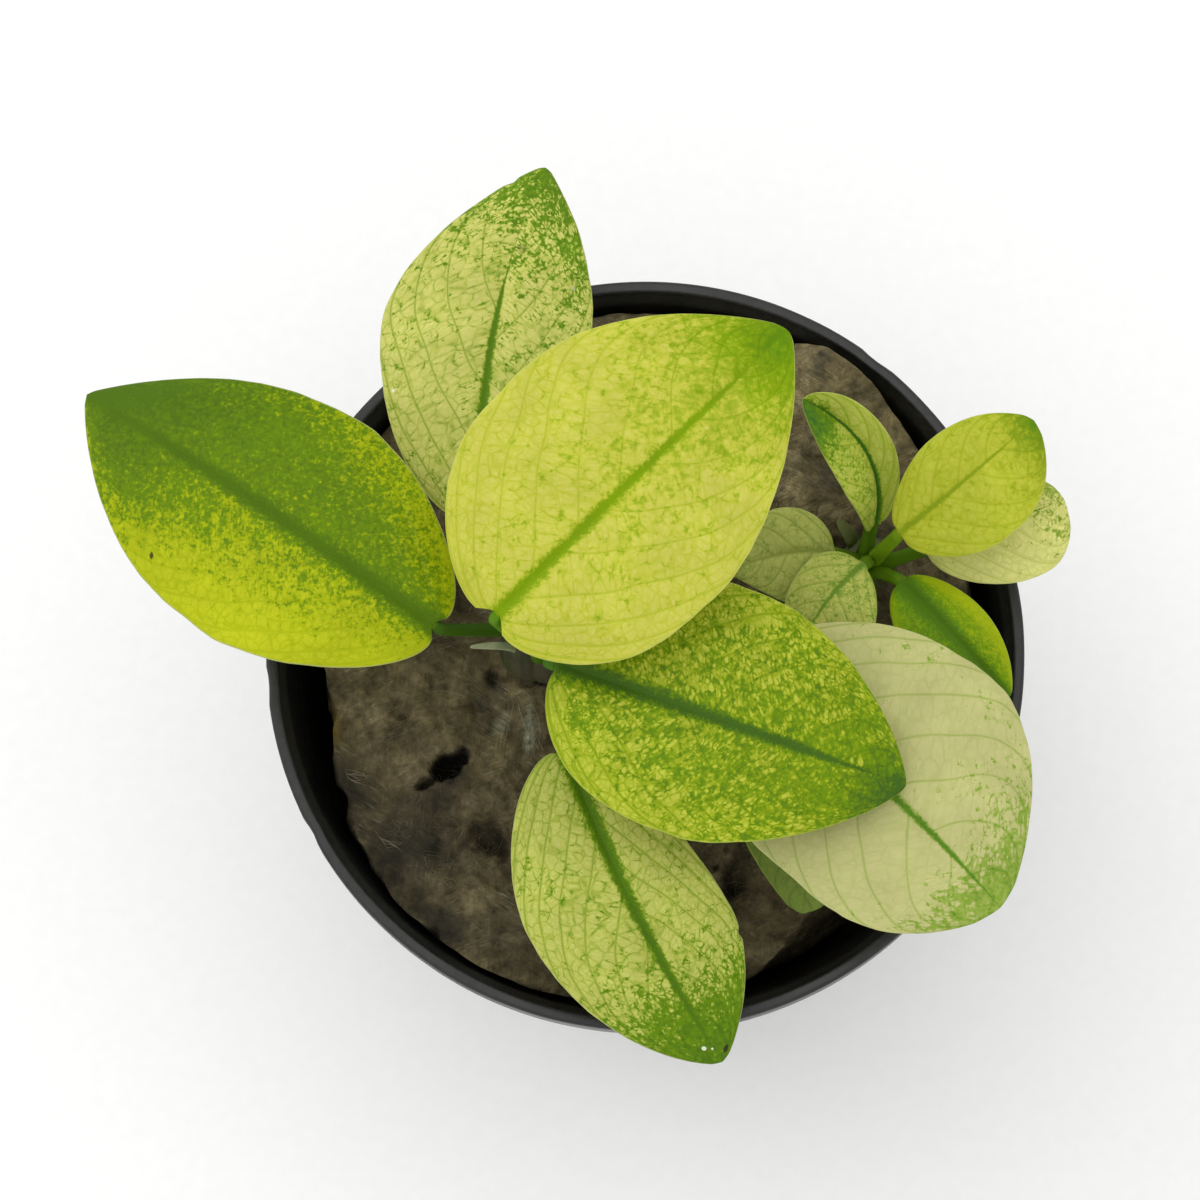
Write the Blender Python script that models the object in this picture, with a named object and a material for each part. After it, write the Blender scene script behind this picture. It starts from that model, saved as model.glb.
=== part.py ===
"""A broad white anubias in a small black net pot, at its real size.

Frame: metres, +Z up, origin at the centre of the pot's underside. +X is to the right and +Y away from the
viewer who looks down on the pot with the longest leaf reaching left.
Sizes below are in millimetres. MM turns them into metres where a mesh is made.
"""

import math
from dataclasses import dataclass

import bmesh
import bpy
import numpy as np

MM = 0.001
GAP = 0.35  # left between neighbouring pieces

# Pot
POT_HEIGHT = 48.0
RIM_RADIUS = 25.15
LIP_HEIGHT = 2.8
LIP_BAND = 0.75  # width of the outer, raised band of the lip
LIP_STEP = 0.45  # how far the inner band starts below the outer one
LIP_SLOPE = 0.8  # how far the inner band falls to the mouth
MOUTH_RADIUS = 23.9
WALL = 0.9
BASE_INNER_RADIUS = 16.6
FLOOR_THICKNESS = 1.2
FOOT_RADIUS = 17.0
POT_SEGMENTS = 48
SLOT_COLUMNS = 12
SLOT_WIDTH = 3.2
SLOT_ROWS = ((4.0, 14.5), (18.0, 28.5))  # lowest and highest point of the slots in each row
FLOOR_SLOTS = 8
FLOOR_SLOT_WIDTH = 2.4
FLOOR_SLOT_REACH = (7.5, 14.5)

# Wool plug
WOOL_BOTTOM = FLOOR_THICKNESS + GAP
WOOL_TOP = 45.2
WOOL_CLEARANCE = 0.45
WOOL_SIDES = 40
WOOL_DENTS = ((188, 17, 1.8), (-52, 17, 2.9), (5, 22, 0.9))  # bearing, spread, depth
WOOL_DENT_HEIGHT = 12.0  # the dents fade out this far below the top
WOOL_RISE = 1.4  # how much higher the top is at its far side
WOOL_RISE_START, WOOL_RISE_END = 4.0, 16.0  # y between which it rises

# Rhizome
RHIZOME_RADIUS = 2.3
SHOOT_RADIUS = 1.65
RHIZOME_COURSE = ((-9.6, 0.6, 47.6), (-5.0, -0.2, 47.4), (1.0, 0.0, 47.3), (6.6, 1.6, 47.2))
SHOOT_COURSE = ((7.9, 2.2, 47.2), (10.6, 3.6, 47.3), (13.6, 5.2, 47.5), (16.4, 6.9, 47.9))
SCAR_PITCH = 1.9
SCAR_HEIGHT = 0.07  # share of the radius
RHIZOME_SIDES = 12

# Leaf surface
BLADE_THICKNESS = 0.42
KEEL_HEIGHT = 0.35
STALK_RADIUS = 0.52
STALK_BASE_SWELL = 0.45  # share by which a stalk widens at its root
BEND_RADIUS = 0.85  # of the stalk's middle line, where it turns into the blade


@dataclass(frozen=True)
class Leaf:
    """One leaf: where its stalk starts, where its blade starts and the blade's outline and posture."""

    name: str
    colour: tuple
    root: tuple  # where the stalk leaves the rhizome
    base: tuple  # where the blade starts
    heading: float  # bearing of the blade in plan, degrees from +X
    reach: float  # length of the blade in plan
    rise: float  # height of the tip above the base
    half_left: float
    half_right: float
    widest_left: float = 0.42  # place of the widest point, as a share of the length
    widest_right: float = 0.42
    base_fullness: float = 1.8
    tip_fullness_left: float = 2.0
    tip_fullness_right: float = 2.0
    tip_point: float = 0.8
    lobe: float = 0.3  # how far the blade runs back behind its stalk
    bow: float = 0.0  # sideways curve of the midrib
    arch: float = 0.8  # upward curve of the midrib
    fold: float = 0.18  # slope of the blade beside the midrib
    cup: float = 0.22  # how strongly the margins turn down
    stalk_scale: float = 1.0
    fine: bool = True  # the large leaves have more rings


LEAVES = (
    Leaf("leaf_left", (0.16, 0.33, 0.01), (-8.3, 1.1, 50.25), (-13.4, -0.4, 61.0), 145.5, 27.5, -3.0,
         8.8, 8.2, 0.40, 0.36, 1.5, 2.3, 2.1, 0.94, lobe=1.0, arch=2.2, fold=0.16, stalk_scale=0.78),
    Leaf("leaf_top", (0.50, 0.58, 0.18), (-6.5, 1.7, 50.2), (-10.6, 7.0, 57.0), 80.5, 24.4, -2.0,
         7.4, 6.5, 0.49, 0.41, 1.6, 1.5, 2.5, 0.93, lobe=0.2, bow=-1.3, arch=1.6, fold=0.16, cup=0.20),
    Leaf("leaf_centre", (0.45, 0.60, 0.07), (-7.0, -0.7, 50.35), (-9.15, -0.65, 67.0), 44.5, 25.3, 1.0,
         10.0, 8.8, 0.44, 0.41, 3.0, 2.0, 1.7, 0.84, lobe=1.3, bow=0.2, arch=2.0, fold=0.14, cup=0.20,
         stalk_scale=0.72),
    Leaf("leaf_mottled", (0.20, 0.36, 0.02), (-5.0, -0.9, 50.3), (-5.5, -3.1, 62.5), -18.5, 23.2, -3.0,
         8.7, 7.9, 0.44, 0.44, 2.9, 1.9, 1.5, 0.78, lobe=0.5, bow=0.3, arch=2.2, fold=0.16),
    Leaf("leaf_bottom", (0.40, 0.50, 0.12), (-5.0, -3.0, 49.3), (-5.1, -7.8, 56.0), -63.0, 22.1, -3.0,
         5.6, 6.9, 0.62, 0.41, 1.7, 1.8, 2.0, 0.80, lobe=0.8, bow=0.7, arch=1.8, fold=0.16, cup=0.20),
    Leaf("leaf_right", (0.56, 0.56, 0.25), (-0.9, -1.0, 50.2), (6.0, -2.6, 56.0), -42.5, 22.6, 0.0,
         10.1, 8.3, 0.58, 0.43, 2.1, 1.6, 3.4, 0.79, lobe=0.4, bow=-0.5, arch=1.6, fold=0.12, cup=0.18),
    Leaf("leaf_under", (0.16, 0.22, 0.06), (3.4, -0.4, 50.05), (9.7, -8.1, 51.5), -87.0, 9.5, -1.9,
         4.1, 4.1, tip_fullness_left=1.6, tip_fullness_right=1.5, bow=-0.5, fine=False),
    Leaf("shoot_leaf_folded", (0.30, 0.44, 0.08), (15.1, 7.5, 49.9), (15.0, 7.8, 52.4), 126.5, 8.3, 7.6,
         3.5, 2.1, 0.45, 0.62, 1.5, 2.9, 3.4, 0.82, lobe=1.1, bow=1.7, fold=0.70, cup=0.20,
         stalk_scale=0.85, fine=False),
    Leaf("shoot_leaf_upper", (0.40, 0.54, 0.05), (16.65, 7.0, 50.0), (16.4, 6.2, 57.4), 39.0, 10.9, 2.6,
         3.5, 4.6, 0.46, 0.44, 1.6, 2.4, 2.9, 0.83, lobe=0.5, bow=0.2, arch=1.0, fold=0.14, cup=0.20,
         stalk_scale=0.85, fine=False),
    Leaf("shoot_leaf_outer", (0.42, 0.50, 0.14), (17.4, 5.4, 49.6), (18.3, 6.0, 52.8), 18.5, 9.5, 1.2,
         4.1, 4.1, 0.42, 0.59, 1.5, 2.0, 2.9, 0.70, lobe=0.1, bow=0.2, fold=0.14, cup=0.20,
         stalk_scale=0.85, fine=False),
    Leaf("shoot_leaf_dark", (0.10, 0.26, 0.01), (15.9, 4.45, 49.3), (16.7, 3.9, 52.5), -46.5, 10.3, -1.0,
         2.7, 3.2, 0.45, 0.44, 1.8, 2.2, 2.2, 0.82, lobe=0.2, bow=0.1, fold=0.20, cup=0.20,
         stalk_scale=0.85, fine=False),
    Leaf("shoot_leaf_inner", (0.36, 0.46, 0.12), (14.6, 5.6, 49.9), (14.2, 4.9, 53.0), -127.0, 6.9, -0.5,
         3.7, 2.7, 0.55, 0.34, 1.9, 2.0, 2.7, 0.77, lobe=0.0, bow=0.4, arch=0.6, fold=0.20, cup=0.20,
         stalk_scale=0.85, fine=False),
    Leaf("shoot_leaf_back", (0.24, 0.32, 0.09), (13.1, 5.2, 49.65), (12.4, 6.1, 51.0), -170.5, 7.0, -1.2,
         3.4, 3.2, 0.42, 0.45, 2.1, 1.6, 1.7, 1.0, lobe=0.0, bow=0.4, arch=0.6, fold=0.20, cup=0.20,
         stalk_scale=0.8, fine=False),
)

# Sheaths and bud: root, tip, half width, half thickness
SHEATH_MAIN = ((-8.7, -0.2, 50.3), (-11.4, -0.7, 54.0), 0.28, 0.2)
SHEATH_SHOOT = ((13.7, 6.9, 49.9), (12.6, 8.1, 51.9), 0.5, 0.22)
BUD_SHOOT = (16.05, 5.75, 50.4)
BUD_RADIUS = 0.33

BLACK_PLASTIC = (0.012, 0.012, 0.011)
WOOL_BROWN = (0.075, 0.058, 0.036)
RHIZOME_GREEN = (0.06, 0.12, 0.015)
SHEATH_GREEN = (0.36, 0.40, 0.19)


def unit(vector):
    """The vector at length one."""
    return vector / np.linalg.norm(vector)


def make_material(name, colour, roughness):
    """A Principled material of one colour."""
    material = bpy.data.materials.new(name)
    material.use_nodes = True
    shader = material.node_tree.nodes["Principled BSDF"]
    shader.inputs["Base Color"].default_value = (*colour, 1.0)
    shader.inputs["Roughness"].default_value = roughness
    shader.inputs["Metallic"].default_value = 0.0
    return material


def add_object(name, bm, material, smooth=True):
    """Turns a bmesh in millimetres into a named object in metres."""
    bmesh.ops.recalc_face_normals(bm, faces=bm.faces)
    mesh = bpy.data.meshes.new(name)
    for vertex in bm.verts:
        vertex.co *= MM
    bm.to_mesh(mesh)
    bm.free()
    if smooth:
        mesh.shade_smooth()
        mesh.set_sharp_from_angle(angle=math.radians(40))
    obj = bpy.data.objects.new(name, mesh)
    bpy.context.scene.collection.objects.link(obj)
    if material:
        mesh.materials.append(material)
    return obj


def skin(bm, rings, start=None, end=None):
    """Joins closed rings of points, one after the other, and closes both ends.

    An end with a point is a fan of triangles to that point, and one without is a flat cap.
    """
    rows = [[bm.verts.new(point) for point in ring] for ring in rings]
    count = len(rows[0])
    for low, high in zip(rows, rows[1:]):
        for i in range(count):
            j = (i + 1) % count
            bm.faces.new((low[i], low[j], high[j], high[i]))
    for row, point in ((rows[0], start), (rows[-1], end)):
        if point is None:
            bm.faces.new(row)
            continue
        tip = bm.verts.new(point)
        for i in range(count):
            bm.faces.new((row[i], row[(i + 1) % count], tip))


def bezier(points, s):
    """Point at share s of a cubic curve given by four points."""
    a, b, c, d = (np.array(p, float) for p in points)
    return a * (1 - s) ** 3 + 3 * b * s * (1 - s) ** 2 + 3 * c * s * s * (1 - s) + d * s ** 3


def bezier_direction(points, s):
    """Unit direction of the cubic curve at share s."""
    step = 0.001
    return unit(bezier(points, min(1, s + step)) - bezier(points, max(0, s - step)))


class Blade:
    """The mid-surface of a leaf's blade, in millimetres."""

    def __init__(self, leaf):
        self.leaf = leaf
        bearing = math.radians(leaf.heading)
        self.base = np.array(leaf.base, float)
        chord = np.array((math.cos(bearing) * leaf.reach, math.sin(bearing) * leaf.reach, leaf.rise))
        self.chord = chord
        along = unit(chord)
        self.side = unit(np.cross(along, (0, 0, 1)))
        self.normal = np.cross(self.side, along)

    def midrib(self, u):
        """Point on the midrib, u from 0 at the base to 1 at the tip."""
        hump = 4 * u * (1 - u)
        return self.base + self.chord * u + self.normal * self.leaf.arch * hump + self.side * self.leaf.bow * hump

    def frame(self, u):
        """Tangent, side and normal directions at u."""
        step = 0.001
        tangent = unit(self.midrib(min(1, u + step)) - self.midrib(max(0, u - step)))
        side = unit(self.side - tangent * np.dot(tangent, self.side))
        return tangent, side, np.cross(side, tangent)

    def half_width(self, u, right):
        """Half width of the blade at u, on its left or right side."""
        leaf = self.leaf
        widest = leaf.widest_right if right else leaf.widest_left
        full = leaf.half_right if right else leaf.half_left
        if u < widest:
            return full * math.sqrt(max(0, 1 - (1 - u / widest) ** leaf.base_fullness))
        fullness = leaf.tip_fullness_right if right else leaf.tip_fullness_left
        return full * max(0, 1 - ((u - widest) / (1 - widest)) ** fullness) ** leaf.tip_point

    def point(self, u, t, thickness=0.0):
        """Point at u along and t across, from -1 at the left margin to 1 at the right one."""
        leaf = self.leaf
        tangent, side, normal = self.frame(u)
        narrowest = STALK_RADIUS * leaf.stalk_scale * (1 - u)
        width = max(self.half_width(u, t > 0), narrowest)
        across = width * t * math.cos(math.atan(leaf.fold))
        lift = width * (abs(t) * leaf.fold - leaf.cup * t * t)
        back = leaf.lobe * abs(t) ** 1.5 * math.exp(-u / 0.08) * (1 - narrowest / width if width else 0.0)
        return self.midrib(u) + side * across + normal * (lift + thickness) - tangent * back


def stalk_stations(blade, climb_steps, bend_steps):
    """Middle points and directions of the stalk, up from its root and round the bend into the blade.

    The last station lies one step before the blade's base. Each has its share s of the way up.
    """
    scale = blade.leaf.stalk_scale
    tangent, _, normal = blade.frame(0.0)
    bend = BEND_RADIUS * scale
    end = blade.base - normal * (STALK_RADIUS * scale - BLADE_THICKNESS / 2)
    root = np.array(blade.leaf.root, float)
    climb = unit(end - root)
    turn = math.acos(np.dot(climb, tangent))
    rising = unit(climb - tangent * np.dot(climb, tangent))

    def on_bend(angle):
        centre = end - tangent * bend * math.sin(angle) - rising * bend * (1 - math.cos(angle))
        return centre, tangent * math.cos(angle) + rising * math.sin(angle)

    start, direction = on_bend(turn)
    span = np.linalg.norm(start - root)
    course = (root, root + np.array((0, 0, span * 0.35)), start - direction * span * 0.35, start)
    stations = []
    for k in range(climb_steps):
        s = k / climb_steps
        stations.append((s, bezier(course, s), bezier_direction(course, s)))
    for k in range(bend_steps):
        stations.append((1.0, *on_bend(turn * (1 - k / bend_steps))))
    return stations


def leaf_rings(leaf):
    """Rings of points of the whole leaf, from the stalk's root to near the tip, and the tip."""
    blade = Blade(leaf)
    if leaf.fine:
        top = (-1.0, -0.72, -0.38, 0.0, 0.38, 0.72, 1.0)
        places = (0.0, 0.02, 0.06, 0.13, 0.23, 0.34, 0.46, 0.58, 0.7, 0.81, 0.9, 0.965)
        steps = (4, 4)
    else:
        top = (-1.0, -0.55, 0.0, 0.55, 1.0)
        places = (0.0, 0.03, 0.1, 0.22, 0.38, 0.55, 0.72, 0.86, 0.955)
        steps = (3, 3)
    under = top[-2:0:-1]
    count = len(top) + len(under)
    turns = [math.pi - 2 * math.pi * i / count for i in range(count)]
    reference = blade.side
    stalk = []
    for s, centre, direction in reversed(stalk_stations(blade, *steps)):
        reference = unit(reference - direction * np.dot(direction, reference))
        over = np.cross(reference, direction)
        swell = STALK_RADIUS * leaf.stalk_scale * (1 + STALK_BASE_SWELL * (1 - s) ** 2)
        stalk.append([centre + (reference * math.cos(a) + over * math.sin(a)) * swell for a in turns])
    rings = stalk[::-1]
    for u in places:
        half = BLADE_THICKNESS / 2 * min(1.0, 0.45 + blade.half_width(u, True) / leaf.half_right)
        ring = [blade.point(u, t, half * (1 - 0.5 * t * t) * (abs(t) < 1)) for t in top]
        for t in under:
            keel = KEEL_HEIGHT * (1 - u) * max(0.0, 1 - abs(t) * 4)
            ring.append(blade.point(u, t, -half * (1 - 0.5 * t * t) - keel))
        rings.append(ring)
    return rings, blade.midrib(1.0)


def build_leaf(leaf):
    """Stalk and blade of one leaf as one solid."""
    bm = bmesh.new()
    rings, tip = leaf_rings(leaf)
    skin(bm, rings, end=tip)
    add_object(leaf.name, bm, make_material(leaf.name + "_skin", leaf.colour, 0.35))


def inner_radius(z):
    """Inside radius of the pot at height z."""
    mouth_height = POT_HEIGHT - LIP_STEP - LIP_SLOPE
    share = (z - FLOOR_THICKNESS) / (mouth_height - FLOOR_THICKNESS)
    return BASE_INNER_RADIUS + (MOUTH_RADIUS - BASE_INNER_RADIUS) * share


def pot_profile():
    """The pot's half section, radius and height, from the axis under the floor to the axis above it."""
    lip_under = POT_HEIGHT - LIP_HEIGHT
    band_inner = RIM_RADIUS - LIP_BAND
    return (
        (FOOT_RADIUS - 0.5, 0.0),
        (FOOT_RADIUS, 0.5),
        (inner_radius(lip_under) + WALL, lip_under),
        (RIM_RADIUS - 0.2, lip_under),
        (RIM_RADIUS, lip_under + 0.3),
        (RIM_RADIUS, POT_HEIGHT - 0.3),
        (RIM_RADIUS - 0.25, POT_HEIGHT),
        (band_inner, POT_HEIGHT),
        (band_inner - 0.1, POT_HEIGHT - LIP_STEP),
        (MOUTH_RADIUS, POT_HEIGHT - LIP_STEP - LIP_SLOPE),
        (BASE_INNER_RADIUS, FLOOR_THICKNESS),
    )


def stadium_prism(bm, centre, along, across, through, length, width, depth):
    """A slot cutter: a prism with rounded ends, depth long in the through direction."""
    steps = 3
    outline = []
    straight = length / 2 - width / 2
    for sign in (1, -1):
        for i in range(steps + 1):
            angle = math.pi * i / steps
            outline.append((sign * (straight + width / 2 * math.sin(angle)), sign * width / 2 * math.cos(angle)))
    rings = []
    for end in (-0.5, 0.5):
        rings.append([centre + along * x + across * y + through * depth * end for x, y in outline])
    skin(bm, rings)


def build_pot():
    """The pot: a turned wall, floor and lip, with slots cut through wall and floor."""
    bm = bmesh.new()
    turns = [2 * math.pi * i / POT_SEGMENTS for i in range(POT_SEGMENTS)]
    rings = [[np.array((r * math.cos(a), r * math.sin(a), z)) for a in turns] for r, z in pot_profile()]
    skin(bm, rings, start=(0, 0, 0), end=(0, 0, FLOOR_THICKNESS))
    pot = add_object("pot", bm, make_material("black_plastic", BLACK_PLASTIC, 0.45))

    cutters = bmesh.new()
    up = np.array((0, 0, 1.0))
    for column in range(SLOT_COLUMNS):
        bearing = 2 * math.pi * (column + 0.5) / SLOT_COLUMNS
        out = np.array((math.cos(bearing), math.sin(bearing), 0))
        across = np.cross(up, out)
        for low, high in SLOT_ROWS:
            centre = out * inner_radius((low + high) / 2) + up * (low + high) / 2
            stadium_prism(cutters, centre, up, across, out, high - low, SLOT_WIDTH, 9.0)
    inner, outer = FLOOR_SLOT_REACH
    for k in range(FLOOR_SLOTS):
        bearing = 2 * math.pi * k / FLOOR_SLOTS
        out = np.array((math.cos(bearing), math.sin(bearing), 0))
        across = np.cross(up, out)
        stadium_prism(cutters, out * (inner + outer) / 2, out, across, up, outer - inner, FLOOR_SLOT_WIDTH, 6.0)
    cutter = add_object("slot_cutters", cutters, None, smooth=False)
    cutter.hide_render = True
    cutter.display_type = "WIRE"
    cut = pot.modifiers.new("slots", "BOOLEAN")
    cut.operation = "DIFFERENCE"
    cut.solver = "EXACT"
    cut.object = cutter


def wool_radius(bearing, z):
    """Radius of the plug at a bearing and height, with its flattened sides."""
    radius = inner_radius(z) - WOOL_CLEARANCE
    fade = min(1.0, max(0.0, 1 - (WOOL_TOP - z) / WOOL_DENT_HEIGHT))
    for centre, spread, depth in WOOL_DENTS:
        off = (bearing - centre + 180) % 360 - 180
        radius -= depth * fade * math.exp(-((off / spread) ** 2))
    return radius


def rhizome_drop(x, y):
    """Height that the wool may reach at a place, so that it stays clear of both rhizomes."""
    lowest = WOOL_TOP + 1.0
    for course, radius in ((RHIZOME_COURSE, RHIZOME_RADIUS), (SHOOT_COURSE, SHOOT_RADIUS)):
        for k in range(17):
            centre = bezier(course, k / 16)
            off = math.hypot(x - centre[0], y - centre[1])
            reach = radius * (1 + SCAR_HEIGHT) + GAP + 0.5
            if off < reach:
                lowest = min(lowest, centre[2] - math.sqrt(reach * reach - off * off))
    return lowest


def wool_height(x, y):
    """Height of the plug's uneven top."""
    swell = 0.5 * math.sin(0.31 * x + 0.9) * math.cos(0.27 * y - 0.4) + 0.25 * math.sin(0.7 * y + 0.5 * x)
    edge = 1.2 * max(0.0, math.hypot(x, y) / MOUTH_RADIUS - 0.8) ** 1.5 * 4
    share = min(1.0, max(0.0, (y - WOOL_RISE_START) / (WOOL_RISE_END - WOOL_RISE_START)))
    rise = WOOL_RISE * share * share * (3 - 2 * share)
    return min(WOOL_TOP + swell + rise - edge, rhizome_drop(x, y))


def build_wool():
    """The wool plug: a tapered, uneven block with a hollow under the rhizome."""
    bm = bmesh.new()
    bearings = [360 * i / WOOL_SIDES for i in range(WOOL_SIDES)]

    def ring(share, z, flat):
        points = []
        for bearing in bearings:
            angle = math.radians(bearing)
            radius = wool_radius(bearing, z) * share
            x, y = radius * math.cos(angle), radius * math.sin(angle)
            points.append((x, y, z if flat else wool_height(x, y)))
        return points

    rings = [ring(0.5, WOOL_BOTTOM, True)]
    for z in (WOOL_BOTTOM, WOOL_TOP - WOOL_DENT_HEIGHT, WOOL_TOP - 2.4):
        rings.append(ring(1.0, z, True))
    for share in (0.975, 0.86, 0.74, 0.62, 0.5, 0.38, 0.26, 0.13):
        rings.append(ring(share, WOOL_TOP, False))
    skin(bm, rings, start=(0, 0, WOOL_BOTTOM), end=(0, 0, wool_height(0, 0)))
    add_object("wool_plug", bm, make_material("mineral_wool", WOOL_BROWN, 0.95))


def build_rhizome(name, course, radius, rings_count):
    """A creeping stem: a round tube along its course, with low leaf scars and rounded ends."""
    bm = bmesh.new()
    length = sum(
        np.linalg.norm(bezier(course, (k + 1) / 20) - bezier(course, k / 20)) for k in range(20)
    )
    side = np.array((0, 0, 1.0))
    rings = []
    for k in range(rings_count):
        s = 0.5 - 0.5 * math.cos(math.pi * (k + 0.5) / rings_count)
        along = s * length
        from_end = min(along, length - along)
        round_end = math.sqrt(1 - max(0.0, 1 - from_end / radius) ** 2)
        scar = 1 + SCAR_HEIGHT * math.cos(2 * math.pi * along / SCAR_PITCH)
        r = radius * round_end * scar
        direction = bezier_direction(course, s)
        up = unit(side - direction * np.dot(direction, side))
        across = np.cross(direction, up)
        turns = [2 * math.pi * i / RHIZOME_SIDES for i in range(RHIZOME_SIDES)]
        centre = bezier(course, s)
        rings.append([centre + up * r * math.cos(a) + across * r * math.sin(a) for a in turns])
    skin(bm, rings, start=bezier(course, 0), end=bezier(course, 1))
    add_object(name, bm, make_material(name + "_skin", RHIZOME_GREEN, 0.5))


def build_sheath(name, root, tip, half_width, half_thickness):
    """A tongue-shaped sheath: an oval strip that narrows to a rounded tip."""
    bm = bmesh.new()
    root, tip = np.array(root, float), np.array(tip, float)
    direction = unit(tip - root)
    across = unit(np.cross(direction, (0, 0, 1)))
    over = np.cross(across, direction)
    rings = []
    for s in (0.0, 0.35, 0.7, 0.9):
        w = half_width * math.sqrt(1 - (s * 0.95) ** 3)
        h = half_thickness * (1 - 0.4 * s)
        bulge = over * 0.5 * math.sin(math.pi * s)
        turns = [2 * math.pi * i / 8 for i in range(8)]
        centre = root + (tip - root) * s + bulge
        rings.append([centre + across * w * math.cos(a) + over * h * math.sin(a) for a in turns])
    skin(bm, rings, end=tip)
    add_object(name, bm, make_material(name + "_skin", SHEATH_GREEN, 0.4))


def build_bud():
    """The bud on the shoot's crown: a small upright egg."""
    bm = bmesh.new()
    bmesh.ops.create_uvsphere(bm, u_segments=10, v_segments=6, radius=BUD_RADIUS)
    bmesh.ops.scale(bm, vec=(1, 1, 1.35), verts=bm.verts)
    bmesh.ops.translate(bm, vec=BUD_SHOOT, verts=bm.verts)
    add_object("bud_shoot", bm, make_material("bud_skin", SHEATH_GREEN, 0.4))


def main():
    """Clears the scene and builds every piece."""
    for obj in list(bpy.data.objects):
        bpy.data.objects.remove(obj, do_unlink=True)
    build_pot()
    build_wool()
    build_rhizome("rhizome_main", RHIZOME_COURSE, RHIZOME_RADIUS, 16)
    build_rhizome("rhizome_shoot", SHOOT_COURSE, SHOOT_RADIUS, 12)
    for leaf in LEAVES:
        build_leaf(leaf)
    build_sheath("sheath_main", *SHEATH_MAIN)
    build_sheath("sheath_shoot", *SHEATH_SHOOT)
    build_bud()


main()
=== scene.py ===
"""A broad white anubias in a small black net pot: how every piece of it looks, built around its fixed frame.

Sizes are in millimetres, and MM turns them into metres where a mesh is made. Looking down on the pot with the
longest leaf reaching left, +X is to the right and +Y away from the viewer. +Z is up.
"""

from __future__ import annotations
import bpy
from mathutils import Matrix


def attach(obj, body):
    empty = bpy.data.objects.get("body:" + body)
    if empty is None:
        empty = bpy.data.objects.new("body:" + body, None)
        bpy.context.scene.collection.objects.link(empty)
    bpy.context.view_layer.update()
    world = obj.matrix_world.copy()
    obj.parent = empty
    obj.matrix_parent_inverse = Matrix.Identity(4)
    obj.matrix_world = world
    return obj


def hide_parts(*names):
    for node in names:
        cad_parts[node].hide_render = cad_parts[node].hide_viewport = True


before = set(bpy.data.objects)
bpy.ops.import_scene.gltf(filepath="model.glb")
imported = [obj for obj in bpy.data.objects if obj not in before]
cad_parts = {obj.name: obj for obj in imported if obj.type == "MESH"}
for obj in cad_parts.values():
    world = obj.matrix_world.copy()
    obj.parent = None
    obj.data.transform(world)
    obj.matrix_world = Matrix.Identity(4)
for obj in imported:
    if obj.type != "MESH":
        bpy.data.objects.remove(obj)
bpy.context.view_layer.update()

import logging
import math
from collections.abc import Sequence
from dataclasses import dataclass
from enum import Enum

import bmesh
import bpy
import numpy as np
from mathutils import Vector, noise

MM = 0.001
BODY = "root"
UP = np.array((0.0, 0.0, 1.0))
SMOOTH = {"interpolation_type": "SMOOTHSTEP"}  # for a range that sets in and ends softly

log = logging.getLogger("anubias")


class Slot(Enum):
    """The record's material slots, one of which is logged for each piece."""

    POT = "pot_plastic"
    WOOL = "mineral_wool"
    RHIZOME = "rhizome_skin"
    DARK_LEAF = "leaf_dark_green"
    YELLOW_LEAF = "leaf_yellow_green"
    PALE_LEAF = "leaf_pale"
    OLIVE_LEAF = "leaf_olive"
    SHEATH = "sheath_skin"


class Side(Enum):
    """The two halves of a blade, looking from its base to its tip."""

    LEFT = -1
    RIGHT = 1


# Small helpers for colours, nodes, curves and meshes


def linear(code: str) -> tuple[float, float, float, float]:
    """Turns an sRGB hex colour into linear numbers.

    Args:
        code: The colour as six hex digits after a #.

    Returns:
        Red, green, blue and an alpha of 1.
    """
    parts = [int(code[i : i + 2], 16) / 255 for i in (1, 3, 5)]
    red, green, blue = (p / 12.92 if p <= 0.04045 else ((p + 0.055) / 1.055) ** 2.4 for p in parts)
    return red, green, blue, 1.0


class Field:
    """One output of a shader node, a value or colour that varies over a surface.

    Sums, differences, products and quotients with it add the nodes that work them out.
    """

    def __init__(self, socket: bpy.types.NodeSocket) -> None:
        """Holds the output's socket."""
        self.socket = socket

    def step(self, operation: str, *others: Field | float) -> Field:
        """One step of arithmetic, such as MAXIMUM, on this field and others."""
        return add_node(self.socket.id_data, "Math", dict(enumerate((self, *others))), operation=operation)

    def __add__(self, other: Field | float) -> Field:
        """This field plus the other."""
        return self.step("ADD", other)

    def __sub__(self, other: Field | float) -> Field:
        """This field less the other."""
        return self.step("SUBTRACT", other)

    def __mul__(self, other: Field | float) -> Field:
        """This field times the other."""
        return self.step("MULTIPLY", other)

    def __truediv__(self, other: Field | float) -> Field:
        """This field divided by the other."""
        return self.step("DIVIDE", other)

    def parts(self) -> list[Field]:
        """All outputs of the node that this field comes from."""
        return [Field(socket) for socket in self.socket.node.outputs]


def set_inputs(node: bpy.types.Node, inputs: dict) -> None:
    """Sets or links inputs of a node.

    Args:
        node: The node.
        inputs: A number, a colour or a field for each input's name or number.
    """
    for key, value in inputs.items():
        if isinstance(value, Field):
            node.id_data.links.new(value.socket, node.inputs[key])
        else:
            node.inputs[key].default_value = value


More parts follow.
